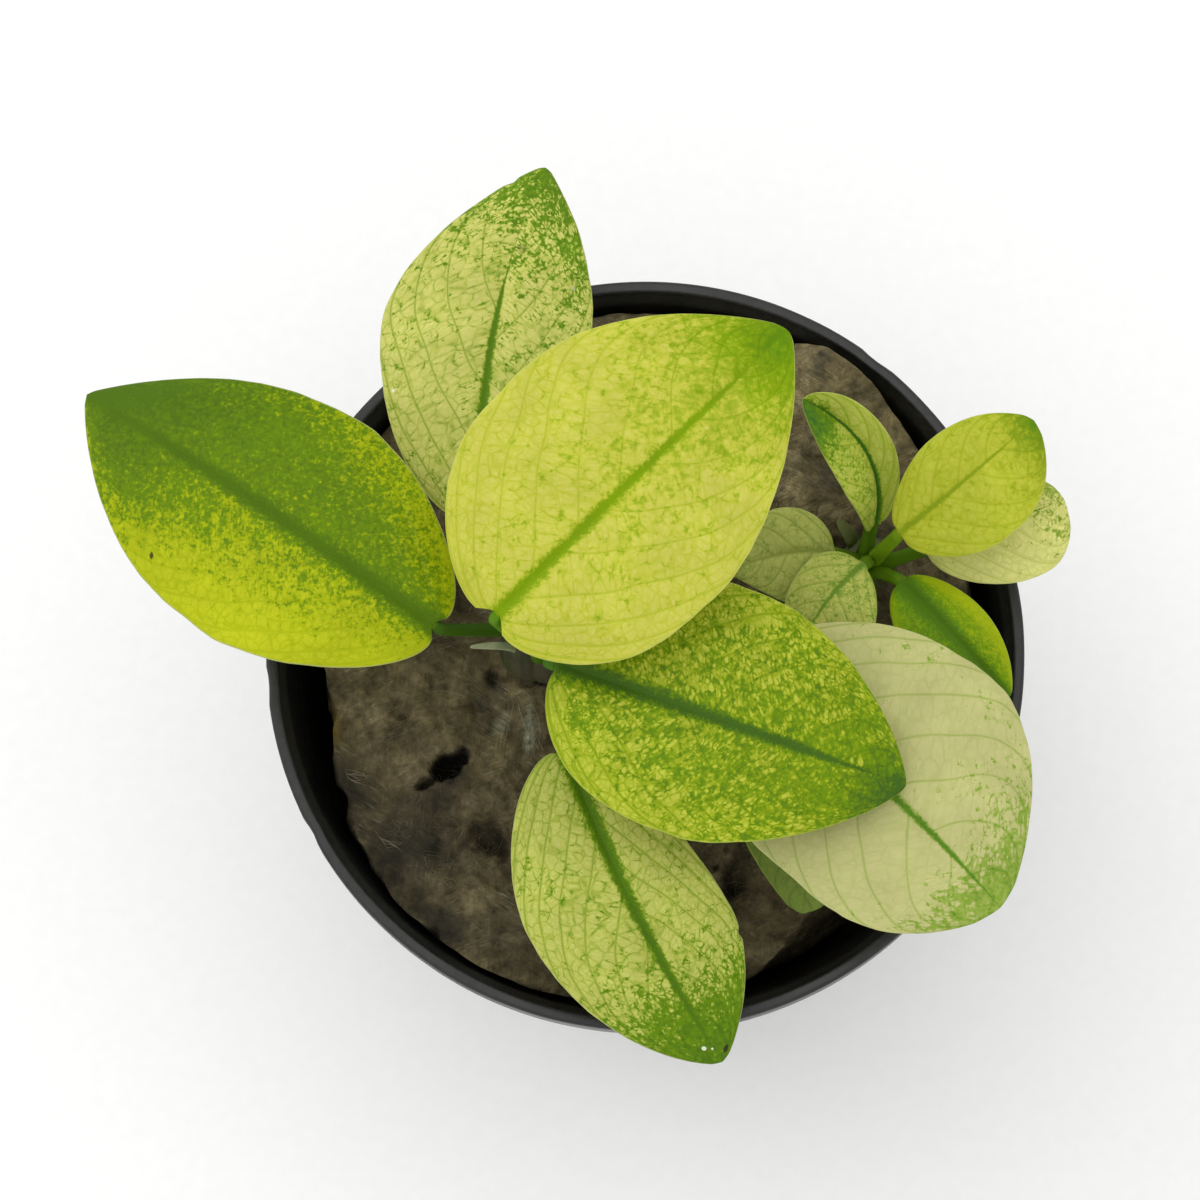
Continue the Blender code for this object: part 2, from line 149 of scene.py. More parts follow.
def add_node(
    tree: bpy.types.NodeTree, kind: str, inputs: dict | None = None, output: int | str = 0, **settings
) -> Field:
    """Adds a shader node with its settings, input values and links.

    Args:
        tree: The material's node tree.
        kind: The node's type name after ShaderNode.
        inputs: A number, a colour or a field for each input's name or number.
        output: Name or number of the output that is wanted.
        settings: Properties of the node itself.

    Returns:
        That output of the new node.
    """
    node = tree.nodes.new("ShaderNode" + kind)
    for key, value in settings.items():
        setattr(node, key, value)
    set_inputs(node, inputs or {})
    return Field(node.outputs[output])


def set_ramp(ramp: Field, stops: Sequence[tuple[float, str]]) -> Field:
    """Gives the colour ramp that a field comes from its stops.

    Args:
        ramp: The ramp's output.
        stops: Place from 0 to 1 and hex colour of each stop.

    Returns:
        The same output.
    """
    elements = ramp.socket.node.color_ramp.elements
    while len(elements) < len(stops):
        elements.new(0.5)
    for element, (place, code) in zip(elements, stops):
        element.position = place
        element.color = linear(code)
    return ramp


def lay_over(tree: bpy.types.NodeTree, colour: Field | tuple, layers: Sequence[tuple[Field, str]]) -> Field:
    """Lays plain colours over the colour of a finish, one after the other.

    Args:
        tree: The material's node tree.
        colour: The colour beneath.
        layers: Share and hex colour of each layer.

    Returns:
        The colour with the layers over it.
    """
    for share, code in layers:
        colour = add_node(tree, "Mix", {0: share, 6: colour, 7: linear(code)}, 2, data_type="RGBA")
    return colour


def new_material(name: str) -> tuple[bpy.types.Material, bpy.types.NodeTree, bpy.types.Node]:
    """Makes a material with an empty tree but for its Principled shader.

    Args:
        name: The material's name.

    Returns:
        The material, its node tree and its shader.
    """
    material = bpy.data.materials.new(name)
    material.use_nodes = True
    tree = material.node_tree
    return material, tree, tree.nodes["Principled BSDF"]


def unit(vectors: np.ndarray) -> np.ndarray:
    """Scales a vector, or each row of vectors, to length one."""
    return vectors / np.linalg.norm(vectors, axis=-1, keepdims=True)


def ease(values: np.ndarray, low: float, high: float) -> np.ndarray:
    """Rises smoothly from 0 at low to 1 at high.

    Args:
        values: Where to read the rise.
        low: Value at which it starts.
        high: Value at which it ends.

    Returns:
        The rise at each value.
    """
    share = np.clip((np.asarray(values, float) - low) / (high - low), 0, 1)
    return share * share * (3 - 2 * share)


def ring_angles(count: int) -> np.ndarray:
    """Angles of the evenly spaced points of a ring, in radians."""
    return np.arange(count) * 2 * math.pi / count


def ring_at(
    centre: np.ndarray, axes: Sequence[np.ndarray], turns: np.ndarray, radius: np.ndarray
) -> np.ndarray:
    """Points of a ring.

    Args:
        centre: Its middle.
        axes: The directions of its first and of its quarter point.
        turns: Angle of each point.
        radius: Radius at each point.

    Returns:
        The points.
    """
    around = np.outer(np.cos(turns), axes[0]) + np.outer(np.sin(turns), axes[1])
    return centre + around * radius[:, None]


def turn_off(bearing: np.ndarray, centre: float) -> np.ndarray:
    """How far bearings lie from a centre, from -180 to 180 degrees."""
    return (bearing - centre + 180) % 360 - 180


def along_across(points: np.ndarray, x: float, y: float, turn: float) -> tuple[np.ndarray, np.ndarray]:
    """Measures plan points from a middle, along a bearing and across it.

    Args:
        points: Rows that start with x and y.
        x: The middle.
        y: The middle.
        turn: The bearing, degrees.

    Returns:
        Distances along and across.
    """
    angle = math.radians(turn)
    x, y = points[:, 0] - x, points[:, 1] - y
    return x * math.cos(angle) + y * math.sin(angle), y * math.cos(angle) - x * math.sin(angle)


def crowded(count: int, crowding: float) -> np.ndarray:
    """Places from 0 to 1 that lie closer together near both ends.

    Args:
        count: Number of steps.
        crowding: 0 for even steps, towards 1 for closer steps at the ends.

    Returns:
        count + 1 places.
    """
    even = np.linspace(0, 1, count + 1)
    return even - crowding * np.sin(2 * math.pi * even) / (2 * math.pi)


def bezier(points: Sequence, shares: np.ndarray) -> np.ndarray:
    """Points on a cubic curve.

    Args:
        points: Its four control points.
        shares: Places along it, from 0 to 1.

    Returns:
        One point for each share.
    """
    a, b, c, d = (np.asarray(p, float) for p in points)
    s = np.asarray(shares, float)[..., None]
    return a * (1 - s) ** 3 + 3 * b * s * (1 - s) ** 2 + 3 * c * s * s * (1 - s) + d * s**3


def bezier_directions(points: Sequence, shares: np.ndarray) -> np.ndarray:
    """Unit directions of a cubic curve at each share."""
    step = 0.001
    shares = np.asarray(shares, float)
    return unit(bezier(points, np.minimum(1, shares + step)) - bezier(points, np.maximum(0, shares - step)))


def rough(points: np.ndarray, size: float, octaves: int = 3, seed: float = 0.0) -> np.ndarray:
    """Fractal noise from about -1 to 1.

    Args:
        points: Rows of two or three coordinates.
        size: Size of the largest lumps, in the same unit.
        octaves: Number of layers, each half the size of the one before.
        seed: Moves the noise to another place.

    Returns:
        One value for each point.
    """
    rows = np.zeros((len(points), 3))
    rows[:, : points.shape[1]] = points / size
    rows += (seed * 7.31, seed * -3.77, seed * 5.13)
    return np.array([noise.fractal(Vector(row), 0.9, 2.0, octaves) for row in rows])


class PieceMesh:
    """Collects the points, faces and point values of one piece and makes its object."""

    def __init__(self) -> None:
        """Starts with nothing in it."""
        self.points: list[np.ndarray] = []
        self.faces: list[tuple[int, ...]] = []
        self.values: dict[str, list[np.ndarray]] = {}
        self.count = 0

    def add(self, points: np.ndarray, faces: Sequence = (), **values: np.ndarray) -> int:
        """Adds points, the faces between them and a row of three numbers for each point under each name.

        Args:
            points: Rows of three coordinates, in millimetres.
            faces: Faces by the numbers that these points have among themselves.
            values: Rows of three numbers, one for each point or one for all.

        Returns:
            The number of the first new point.
        """
        first = self.count
        points = np.asarray(points, float).reshape(-1, 3)
        self.points.append(points)
        self.faces.extend(tuple(int(i) + first for i in face) for face in faces)
        for name, rows in values.items():
            self.values.setdefault(name, []).append(np.broadcast_to(rows, points.shape))
        self.count += len(points)
        return first

    def join(self, faces: Sequence) -> None:
        """Adds faces between points that are already there."""
        self.faces.extend(tuple(int(i) for i in face) for face in faces)

    def cap(self, first: int, count: int, middle: np.ndarray, **values: np.ndarray) -> None:
        """Closes a ring with faces round a middle point.

        Args:
            first: Number of the ring's first point.
            count: Points in the ring.
            middle: The middle point.
            values: Its rows of three numbers.
        """
        point = self.add(middle, **values)
        self.join([(first + i, first + (i + 1) % count, point) for i in range(count)])

    def object(self, name: str, material: bpy.types.Material, crease: float = 50.0) -> bpy.types.Object:
        """Makes the piece, closed, facing out and shaded smooth.

        Args:
            name: The piece's name.
            material: Its finish.
            crease: Angle in degrees past which an edge stays sharp.

        Returns:
            The new object, linked to the scene.
        """
        mesh = bpy.data.meshes.new(name)
        mesh.from_pydata((np.vstack(self.points) * MM).tolist(), [], self.faces)
        for label, rows in self.values.items():
            attribute = mesh.attributes.new(label, "FLOAT_VECTOR", "POINT")
            attribute.data.foreach_set("vector", np.vstack(rows).astype(np.float32).ravel())
        bm = bmesh.new()
        bm.from_mesh(mesh)
        bmesh.ops.recalc_face_normals(bm, faces=bm.faces)
        bm.to_mesh(mesh)
        bm.free()
        mesh.shade_smooth()
        mesh.set_sharp_from_angle(angle=math.radians(crease))
        mesh.materials.append(material)
        made = bpy.data.objects.new(name, mesh)
        bpy.context.scene.collection.objects.link(made)
        return made


def ring_faces(rings: int, count: int) -> list[tuple[int, int, int, int]]:
    """Four-sided faces between closed rings of points.

    Args:
        rings: Number of rings.
        count: Points in each ring.

    Returns:
        The faces, ring by ring.
    """
    rows, columns = np.meshgrid(np.arange(rings - 1), np.arange(count), indexing="ij")
    here = rows * count + columns
    beside = rows * count + (columns + 1) % count
    return np.stack((here, beside, beside + count, here + count), axis=-1).reshape(-1, 4).tolist()


def place(piece: bpy.types.Object, slot: Slot, *nodes: str) -> None:
    """Puts a finished piece on the plant's one body, hides the frame nodes that it stands for and logs its
    slot.

    Args:
        piece: The finished piece.
        slot: The record's slot of the piece, which is logged.
        nodes: The frame nodes that it replaces.
    """
    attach(piece, BODY)
    if nodes:
        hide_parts(*nodes)
    log.info("%s: %d faces, slot %s", piece.name, len(piece.data.polygons), slot.value)


# Leaf skin


@dataclass(frozen=True)
class Patch:
    """A soft oval on a blade where the leaf is greener or more mottled than around it."""

    along: float  # place of its middle, 0 at the base to 1 at the tip
    across: float  # -1 at the left margin to 1 at the right one
    long: float  # reach, as shares of the same
    wide: float
    green: float = 0.0
    mottle: float = 0.0


@dataclass(frozen=True)
class Mark:
    """A small spot: a pale speck of dust or lime, or a dark sore."""

    along: float
    across: float
    radius: float  # mm
    tone: float  # 1 is a pale speck, -1 a dark one


@dataclass(frozen=True)
class LeafSkin:
    """Waxy skin of a live anubias blade, grown in chimera patches of cells with and without green.

    Cells without green show the pale ground, the others lie over it as flecks drawn out along the veins. The
    eye gets a soft wax sheen over a fine net of veins.
    """

    ground: str
    light: str
    green: str
    deep: str
    # colour of the margin's pale line, partly its own colour and partly a painted highlight along the edge
    edge: str
    stalk: str
    body_green: float = 0.1  # how green the ground is, 0 to 1 along the four colours
    mottle: float = 0.2  # share of the blade under flecks
    fleck: float = 0.45  # how much greener a fleck is than its ground
    tip_mottle: float = 0.3  # more flecks towards the tip
    tip_from: float = 0.6
    right_mottle: float = 0.0  # more flecks on the right half than on the left
    edge_mottle: float = 0.0  # more flecks beside the margin
    rib_width: float = 0.5  # half width of the midrib's band at the base, mm
    rib_end: float = 0.9  # where the band fades out
    rib_tone: float = 0.95
    vein_tone: float = 0.16
    net_tone: float = 0.10
    softness: float = 0.12  # how gradually a fleck fades into the ground
    cell: float = 0.32  # size of the flecks' cells, mm
    lacing: float = 0.26  # how closely the flecks follow the finest veins
    patches: tuple[Patch, ...] = ()
    marks: tuple[Mark, ...] = ()

    VEIN_WIDTH = 0.17  # half width of a side vein with its soft edges, mm
    NET_PITCH = 0.85  # length of the net's cells along the veins, mm
    CLOUD = 3.03  # size of the broad light and dark clouds, mm
    GRAIN = 0.13  # size of the blade's own cells, drawn coarse enough to show, mm
    WOBBLE = 0.667  # length of the crooks in the cross veins, mm
    STREAK = 7.0  # how far apart two side veins count for the streaks, mm
    BENEATH = "#9dab5e"
    LIME = "#e9ead2"
    SORE = "#2c2a16"
    WAX_IOR = 1.45
    WAX_ROUGHNESS = 0.46

    def tones(self, u: np.ndarray, t: np.ndarray, y: np.ndarray) -> np.ndarray:
        """Works out how green, how mottled and how near the midrib each point of a blade is.

        Args:
            u: Place along the blade, 0 to 1.
            t: Place across it, -1 to 1.
            y: Distance from the midrib, mm.

        Returns:
            Rows of greenness, share of flecks, and midrib band (1 in its middle, 0 at its edge).
        """
        green = np.full(u.shape, self.body_green)
        mottle = self.mottle + self.tip_mottle * ease(u, self.tip_from, 1.0)
        mottle = mottle + self.right_mottle * ease(t, -0.35, 0.35)
        mottle = mottle + self.edge_mottle * ease(np.abs(t), 0.55, 0.95)
        for patch in self.patches:
            spread = ((u - patch.along) / patch.long) ** 2 + ((t - patch.across) / patch.wide) ** 2
            green = green + patch.green * np.exp(-spread)
            mottle = mottle + patch.mottle * np.exp(-spread)
        taper = np.clip(1 - u / self.rib_end, 0, 1) ** 0.8
        band = self.rib_width * (0.12 + 0.88 * taper)
        rib = np.clip(1 - y / band, -3, 1) - 1.2 * ease(u, self.rib_end - 0.2, self.rib_end + 0.05)
        return np.stack((green, mottle, rib), axis=-1)

    def spots(self, u: np.ndarray, t: np.ndarray, length: float, width: np.ndarray) -> np.ndarray:
        """How strongly each point lies in a pale (above 0) or dark (below 0) mark.

        Args:
            u: Place along the blade.
            t: Place across it.
            length: The blade's length, mm.
            width: Its half width at each point, mm.

        Returns:
            One value for each point.
        """
        total = np.zeros(u.shape)
        for mark in self.marks:
            off = np.hypot((u - mark.along) * length, (t - mark.across) * width)
            total += mark.tone * (1 - ease(off, 0.55 * mark.radius, 1.25 * mark.radius))
        return total

    def material(self, name: str) -> bpy.types.Material:
        """Makes the skin's material, which reads the tone, veins and rim values of the leaf's points.

        Args:
            name: The leaf's name.

        Returns:
            The material.
        """
        material, tree, shader = new_material(f"waxy_leaf_skin_{name}")
        values = []
        for label in ("tone", "veins", "rim"):
            rows = add_node(tree, "Attribute", None, "Vector", attribute_name=label)
            values.append(add_node(tree, "SeparateXYZ", {0: rows}).parts())
        (green, mottle, rib), (phase, along, per_mm), (edge, face, mark) = values
        surface = add_node(tree, "TexCoord", None, "Object")

        def filled(vector: Field, size: float, detail: float) -> Field:
            """Noise with lumps of a size in mm, stretched to fill 0 to 1."""
            settings = {"Vector": vector, "Scale": 1 / (size * MM), "Detail": detail, "Roughness": 0.6}
            return (add_node(tree, "TexNoise", settings) - 0.5) * 2.6 + 0.5

        cloud = add_node(tree, "TexNoise", {"Vector": surface, "Scale": 1 / (self.CLOUD * MM), "Detail": 2.0})
        grain = add_node(tree, "TexNoise", {"Vector": surface, "Scale": 1 / (self.GRAIN * MM), "Detail": 1.0})
        lumps = filled(surface, self.cell * 3.2, 2.0)

        # Veins: smooth side veins, and a net of crooked cross veins with a finer one inside it
        settings = {"Vector": surface, "Scale": 1 / (self.WOBBLE * MM), "Detail": 1.0}
        swayed = phase + (add_node(tree, "TexNoise", settings) - 0.5) * 0.35
        away = phase.step("PINGPONG", 0.5) / per_mm
        veins = add_node(tree, "MapRange", {0: away, 1: 0.0, 2: self.VEIN_WIDTH, 3: 1.0, 4: 0.0}, **SMOOTH)
        nets = []
        for columns, pitch, thickness in ((2.0, self.NET_PITCH, 0.17), (4.0, self.cell * 1.5, 0.26)):
            place_in = add_node(tree, "CombineXYZ", {0: swayed * columns, 1: along / pitch, 2: face})
            settings = {"Vector": place_in, "Scale": 1.0, "Randomness": 0.85}
            seam = add_node(tree, "TexVoronoi", settings, feature="DISTANCE_TO_EDGE")
            nets.append(add_node(tree, "MapRange", {0: seam, 1: 0.0, 2: thickness, 3: 1.0, 4: 0.0}, **SMOOTH))
        coarse, lace = nets
        net = coarse.step("MAXIMUM", lace * 0.5) * (lumps * 0.6 + 0.55)
        lines = (veins * self.vein_tone).step("MAXIMUM", net * self.net_tone)

        # Flecks: they start on the finest veins and fill the cells between them
        cells = add_node(tree, "TexVoronoi", {"Vector": surface, "Scale": 1 / (self.cell * MM)}, "Color")
        cells = add_node(tree, "SeparateXYZ", {0: cells})
        drawn = add_node(tree, "CombineXYZ", {0: phase * (self.STREAK * MM), 1: along * MM})
        streaks = filled(drawn, self.cell * 2.2, 2.0)
        crumbs = filled(surface, self.cell * 1.5, 3.0)
        mixed = lace * self.lacing + lumps * 0.30 + cells * 0.22 + crumbs * (0.40 - self.lacing)
        over = mixed + streaks * 0.14 + mottle + (cloud - 0.5) * 0.4 - 1.0
        flecks = add_node(tree, "MapRange", {0: over, 1: -self.softness, 2: self.softness}, **SMOOTH)
        flecks = flecks * (cells * 0.30 + crumbs * 0.45 + 0.62) * self.fleck

        # Greenness: ground, flecks and veins, then the midrib's band over them
        speckle = (grain - 0.5) * 0.16
        tone = green + flecks.step("MAXIMUM", lines) + flecks.step("MINIMUM", lines) * 0.45 + speckle
        fuzzy = rib + (grain - 0.5) * 0.5 + (streaks - 0.5) * 0.7 + (crumbs - 0.5) * 0.4
        banded = add_node(tree, "MapRange", {0: fuzzy, 1: -1.0, 2: 0.6}, **SMOOTH)
        tone = add_node(tree, "Mix", {0: banded, 2: tone, 3: speckle + self.rib_tone})
        greens = ((0.0, self.ground), (0.36, self.light), (0.68, self.green), (1.0, self.deep))
        colour = set_ramp(add_node(tree, "ValToRGB", {0: tone}), greens)

        # Pale margin, partly its own paler colour and partly a painted highlight along the edge; dull
        # underside, stalk and marks
        pale_margin_and_highlight = add_node(tree, "MapRange", {0: edge, 1: 0.02, 2: 0.13, 3: 0.6, 4: 0.0}, **SMOOTH)
        beneath = add_node(tree, "MapRange", {0: face, 1: 0.2, 2: -0.2, 4: 0.45})
        on_stalk = add_node(tree, "MapRange", {0: face, 1: 1.4, 2: 1.9})
        pale = add_node(tree, "MapRange", {0: mark, 1: 0.1, 2: 0.6, 4: 0.85})
        dark = add_node(tree, "MapRange", {0: mark, 1: -0.1, 2: -0.6, 4: 0.9})
        layers = (
            (pale_margin_and_highlight, self.edge),
            (beneath, self.BENEATH),
            (on_stalk, self.stalk),
            (pale, self.LIME),
            (dark, self.SORE),
        )
        tint = add_node(tree, "MapRange", {0: cloud, 1: 0.3, 2: 0.7, 3: 0.92, 4: 1.06})
        colour = add_node(tree, "HueSaturation", {"Value": tint, "Color": lay_over(tree, colour, layers)})

        # Wax: a little duller on the veins and beneath, with pebbled cells under it
        dull = beneath * 0.35 + (cloud - 0.5) * 0.25 + grain * 0.10 + self.WAX_ROUGHNESS
        relief = grain * 0.35 - veins * 0.5 - net * 0.35
        bump = add_node(tree, "Bump", {"Height": relief, "Strength": 0.5, "Distance": 0.05 * MM})
        dressing = {"Base Color": colour, "Roughness": dull, "Normal": bump}
        set_inputs(shader, dressing | {"IOR": self.WAX_IOR, "Specular IOR Level": 0.10})
        return material


@dataclass(frozen=True)
class Notch:
    """A small step or dent in a blade's margin."""

    along: float
    side: Side
    depth: float  # mm
    spread: float  # share of the blade's length


@dataclass(frozen=True)
class Leaf:
    """One leaf with its stalk: its place, outline and posture, and the skin that it wears."""

    name: str
    slot: Slot
    root: tuple[float, float, float]
    base: tuple[float, float, float]
    heading: float  # bearing of the blade in plan, degrees from +X
    reach: float  # length of the blade in plan
    rise: float  # height of the tip above the base
    half_left: float
    half_right: float
    skin: LeafSkin
    widest_left: float = 0.42
    widest_right: float = 0.42
    base_fullness: float = 1.8
    tip_fullness_left: float = 2.0
    tip_fullness_right: float = 2.0
    tip_point: float = 0.8
    lobe: float = 0.3
    bow: float = 0.0
    arch: float = 0.8
    fold: float = 0.18
    cup: float = 0.22
    stalk_scale: float = 1.0
    fine: bool = True
    waves: float = 0.22  # height of the margin's waves, mm
    uneven: float = 0.012  # unevenness of the margin, share of the width
    blunt: float = 0.007  # share of the length that the tip's rounding takes off
    vein_count: float = 6.5  # side veins that leave the midrib on each side
    vein_span: float = 0.6  # how far forward they run before they meet the margin
    seed: float = 0.0
    notches: tuple[Notch, ...] = ()

    THICKNESS = 0.42
    MARGIN_ROUND = 0.16  # how far in from the margin its rounding reaches
    STALK_RADIUS = 0.52
    STALK_SWELL = 0.45
    BEND_RADIUS = 0.85
    GROOVE_DEPTH = 0.13
    GROOVE_WIDTH = 0.30
    VEIN_DEPTH = 0.035
    QUILT_HEIGHT = 0.04
    LAST_RING = 0.9985  # place of the last ring before the tip's own point
    VEIN_SWING = 1.8  # how early a side vein bends forward
    HALVINGS = 26  # steps in the search for a side vein

    def axes(self) -> tuple[np.ndarray, np.ndarray, np.ndarray]:
        """The blade's chord, and its side and normal directions."""
        bearing = math.radians(self.heading)
        chord = np.array((math.cos(bearing) * self.reach, math.sin(bearing) * self.reach, self.rise))
        side = unit(np.cross(unit(chord), UP))
        return chord, side, np.cross(side, unit(chord))

    def midrib(self, u: np.ndarray) -> np.ndarray:
        """Points on the midrib at places u along the blade."""
        chord, side, normal = self.axes()
        u = np.asarray(u, float)[..., None]
        hump = 4 * u * (1 - u)
        return np.array(self.base) + chord * u + normal * self.arch * hump + side * self.bow * hump

    def frames(self, u: np.ndarray) -> tuple[np.ndarray, np.ndarray, np.ndarray]:
        """Tangent, side and normal directions at places u along the blade."""
        step = 0.001
        u = np.asarray(u, float)
        tangent = unit(self.midrib(np.minimum(1, u + step)) - self.midrib(np.maximum(0, u - step)))
        side = self.axes()[1]
        side = unit(side - tangent * (tangent @ side)[..., None])
        return tangent, side, np.cross(side, tangent)

    def half_width(self, u: np.ndarray, side: Side) -> np.ndarray:
        """Half width of the blade, with the slight unevenness of a grown margin.

        Args:
            u: Places along the blade.
            side: Which half.

        Returns:
            Distance from midrib to margin at each place, mm.
        """
        right = side is Side.RIGHT
        widest = self.widest_right if right else self.widest_left
        full = self.half_right if right else self.half_left
        fullness = self.tip_fullness_right if right else self.tip_fullness_left
        low = np.sqrt(np.clip(1 - np.clip(1 - u / widest, 0, 1) ** self.base_fullness, 0, 1))
        rest = np.clip((u * (1 - self.blunt) - widest) / (1 - widest), 0, 1)
        high = np.clip(1 - rest**fullness, 0, 1) ** self.tip_point
        cap = np.sqrt(np.clip(1 - np.clip(1 - (1 - u) / (1.7 * self.blunt), 0, 1) ** 2, 0, 1))
        width = full * np.where(u < widest, low, high * cap)
        line = np.stack((u * self.reach, np.full(u.shape, side.value * 3.0 + self.seed)), axis=-1)
        width = width * (1 + self.uneven * rough(line, 3.0, 3, self.seed))
        for notch in self.notches:
            if notch.side is side:
                width = width - notch.depth * np.exp(-(((u - notch.along) / notch.spread) ** 2))
        return np.clip(width, 0, None)

    def vein_origin(self, u: np.ndarray, a: np.ndarray) -> np.ndarray:
        """Finds the side vein through each point, as one minus the place where it leaves the midrib.

        A vein leaves the midrib at an angle and swings forward until it runs beside the margin. Values over
        1 fan out from the base itself, ever closer together.

        Args:
            u: Place along the blade.
            a: Share of the half width, 0 at the midrib to 1 at the margin.

        Returns:
            The value for each point.
        """
        swing = 1 - (1 - 0.97 * a) ** (1 / self.VEIN_SWING)
        low, high = np.full(np.shape(u), -1.0), np.full(np.shape(u), 1.1)
        for _ in range(self.HALVINGS):
            middle = (low + high) / 2
            rest = 1 - middle
            reached = middle + self.vein_span * rest / np.sqrt(rest * rest + 0.1) * swing
            low, high = np.where(reached < u, middle, low), np.where(reached < u, high, middle)
        return 1 - (low + high) / 2

    def vein_values(self, u: np.ndarray, t: np.ndarray, width: np.ndarray) -> np.ndarray:
        """Vein count, distance along the veins and veins per mm at each point.

        Args:
            u: Place along the blade, a grid.
            t: Place across it, a grid.
            width: Half width at each point, mm.

        Returns:
            Rows of the three values.
        """
        a = np.abs(t)
        step = 0.002
        v = self.vein_origin(u, a)
        by_a = (self.vein_origin(u, a + step) - v) / step
        by_u = (self.vein_origin(u + step, a) - v) / step
        narrowing = np.gradient(width, axis=0) / np.gradient(u, axis=0)
        wide = np.maximum(width, 0.3)
        forward = (by_u - by_a * a * narrowing / wide) / self.reach
        per_mm = np.hypot(by_a / wide, forward) * self.vein_count
        sway = rough(np.stack((u.ravel() * self.reach, (t * wide).ravel()), axis=-1), 6.0, 2, self.seed + 2)
        phase = v * self.vein_count + 0.2 * sway.reshape(v.shape) + 0.3 * self.seed
        phase = phase + np.where(t > 0, 20.0, 40.45)
        along = u * self.reach + 0.7 * a * wide
        return np.stack((phase, along, np.clip(per_mm, 0.15, 6.0)), axis=-1)

    def across_places(self) -> tuple[np.ndarray, np.ndarray, int]:
        """Places across the upper and the lower face, and points of the blade for one of the stalk."""
        upper, lower, share = (56, 28, 7) if self.fine else (30, 18, 6)
        half = crowded(upper, 0.62)
        top = np.concatenate((-half[:0:-1], half))
        half = crowded(lower, 0.45)
        under = np.concatenate((half[::-1], -half[1:]))[1:-1]
        return top, under, share

    def blade(self, u: np.ndarray, t: np.ndarray, upper: np.ndarray) -> tuple[np.ndarray, dict]:
        """Points of the blade's surface and the values that its skin reads.

        Args:
            u: Place along the blade, one for each ring.
            t: Place across it, one for each point of a ring.
            upper: True for the points of the upper face.

        Returns:
            The points, ring by ring, and rows of values by name.
        """
        tangent, side, normal = (axis[:, None, :] for axis in self.frames(u))
        narrowest = (self.STALK_RADIUS * self.stalk_scale * (1 - u))[:, None]
        left, right = (self.half_width(u, half)[:, None] for half in (Side.LEFT, Side.RIGHT))
        grid_u, grid_t = np.meshgrid(u, t, indexing="ij")
        a = np.abs(grid_t)
        width = np.maximum(np.where(grid_t > 0, right, left), narrowest)
        y = a * width
        edge = (1 - a) * width
        veins = self.vein_values(grid_u, grid_t, width)

        # Thickness, with a rounded margin and the midrib standing out beneath
        share = np.minimum(1.0, 0.45 + right / self.half_right)
        half = self.THICKNESS / 2 * share * (1 - 0.5 * grid_t**2)
        rounding = np.sqrt(np.clip(1 - (1 - np.clip(edge / self.MARGIN_ROUND, 0, 1)) ** 2, 0, 1))
        half = half * rounding
        stalk = self.STALK_RADIUS * self.stalk_scale
        keel = np.sqrt(np.clip(1 - (y / (stalk * (1 - 0.75 * grid_u))) ** 2, 0, 1))
        keel = keel * (2 * stalk - self.THICKNESS) * (1 - grid_u) ** 1.5

        # Relief of the upper face, which the lower face follows
        inner = ease(y, 0.35, 1.4) * ease(edge, 0.1, 1.2)
        away = np.abs((veins[..., 0] + 0.5) % 1.0 - 0.5) / veins[..., 2]
        line = np.exp(-((away / 0.13) ** 2)) * inner
        quilt = np.sin(math.pi * veins[..., 0]) ** 2 * inner * np.clip(1.4 - veins[..., 2], 0, 1)
        groove = np.exp(-((y / self.GROOVE_WIDTH) ** 2)) * np.clip(1.05 - grid_u, 0, 1) ** 0.5
        groove = groove * ease(grid_u, 0, 0.04)
        flat = np.stack((grid_u * self.reach, grid_t * width), axis=-1).reshape(-1, 2)
        swell = rough(flat, 7.0, 2, self.seed).reshape(a.shape)
        ripple = rough(flat, 2.6, 2, self.seed + 5).reshape(a.shape)
        wave = self.waves * swell * (0.25 + a**2) * ease(grid_u, 0, 0.1) + 0.035 * ripple * inner
        wave = wave + self.QUILT_HEIGHT * quilt - self.VEIN_DEPTH * line
        lift = np.where(upper[None, :], half - self.GROOVE_DEPTH * groove, -half - keel) + wave

        across = width * grid_t * math.cos(math.atan(self.fold))
        lift = lift + width * (a * self.fold - self.cup * grid_t**2)
        back = self.lobe * a**1.5 * np.exp(-grid_u / 0.08) * (1 - narrowest / np.maximum(width, 1e-6))
        points = self.midrib(u)[:, None, :] + side * across[..., None]
        points = points + normal * lift[..., None] - tangent * back[..., None]
        marks = self.skin.spots(grid_u, grid_t, self.reach, width) * upper[None, :]
        face = np.where(upper[None, :], 1.0, -1.0) + np.zeros(a.shape)
        values = {
            "tone": self.skin.tones(grid_u, grid_t, y),
            "veins": veins,
            "rim": np.stack((edge, face, marks), axis=-1),
        }
        return points, values

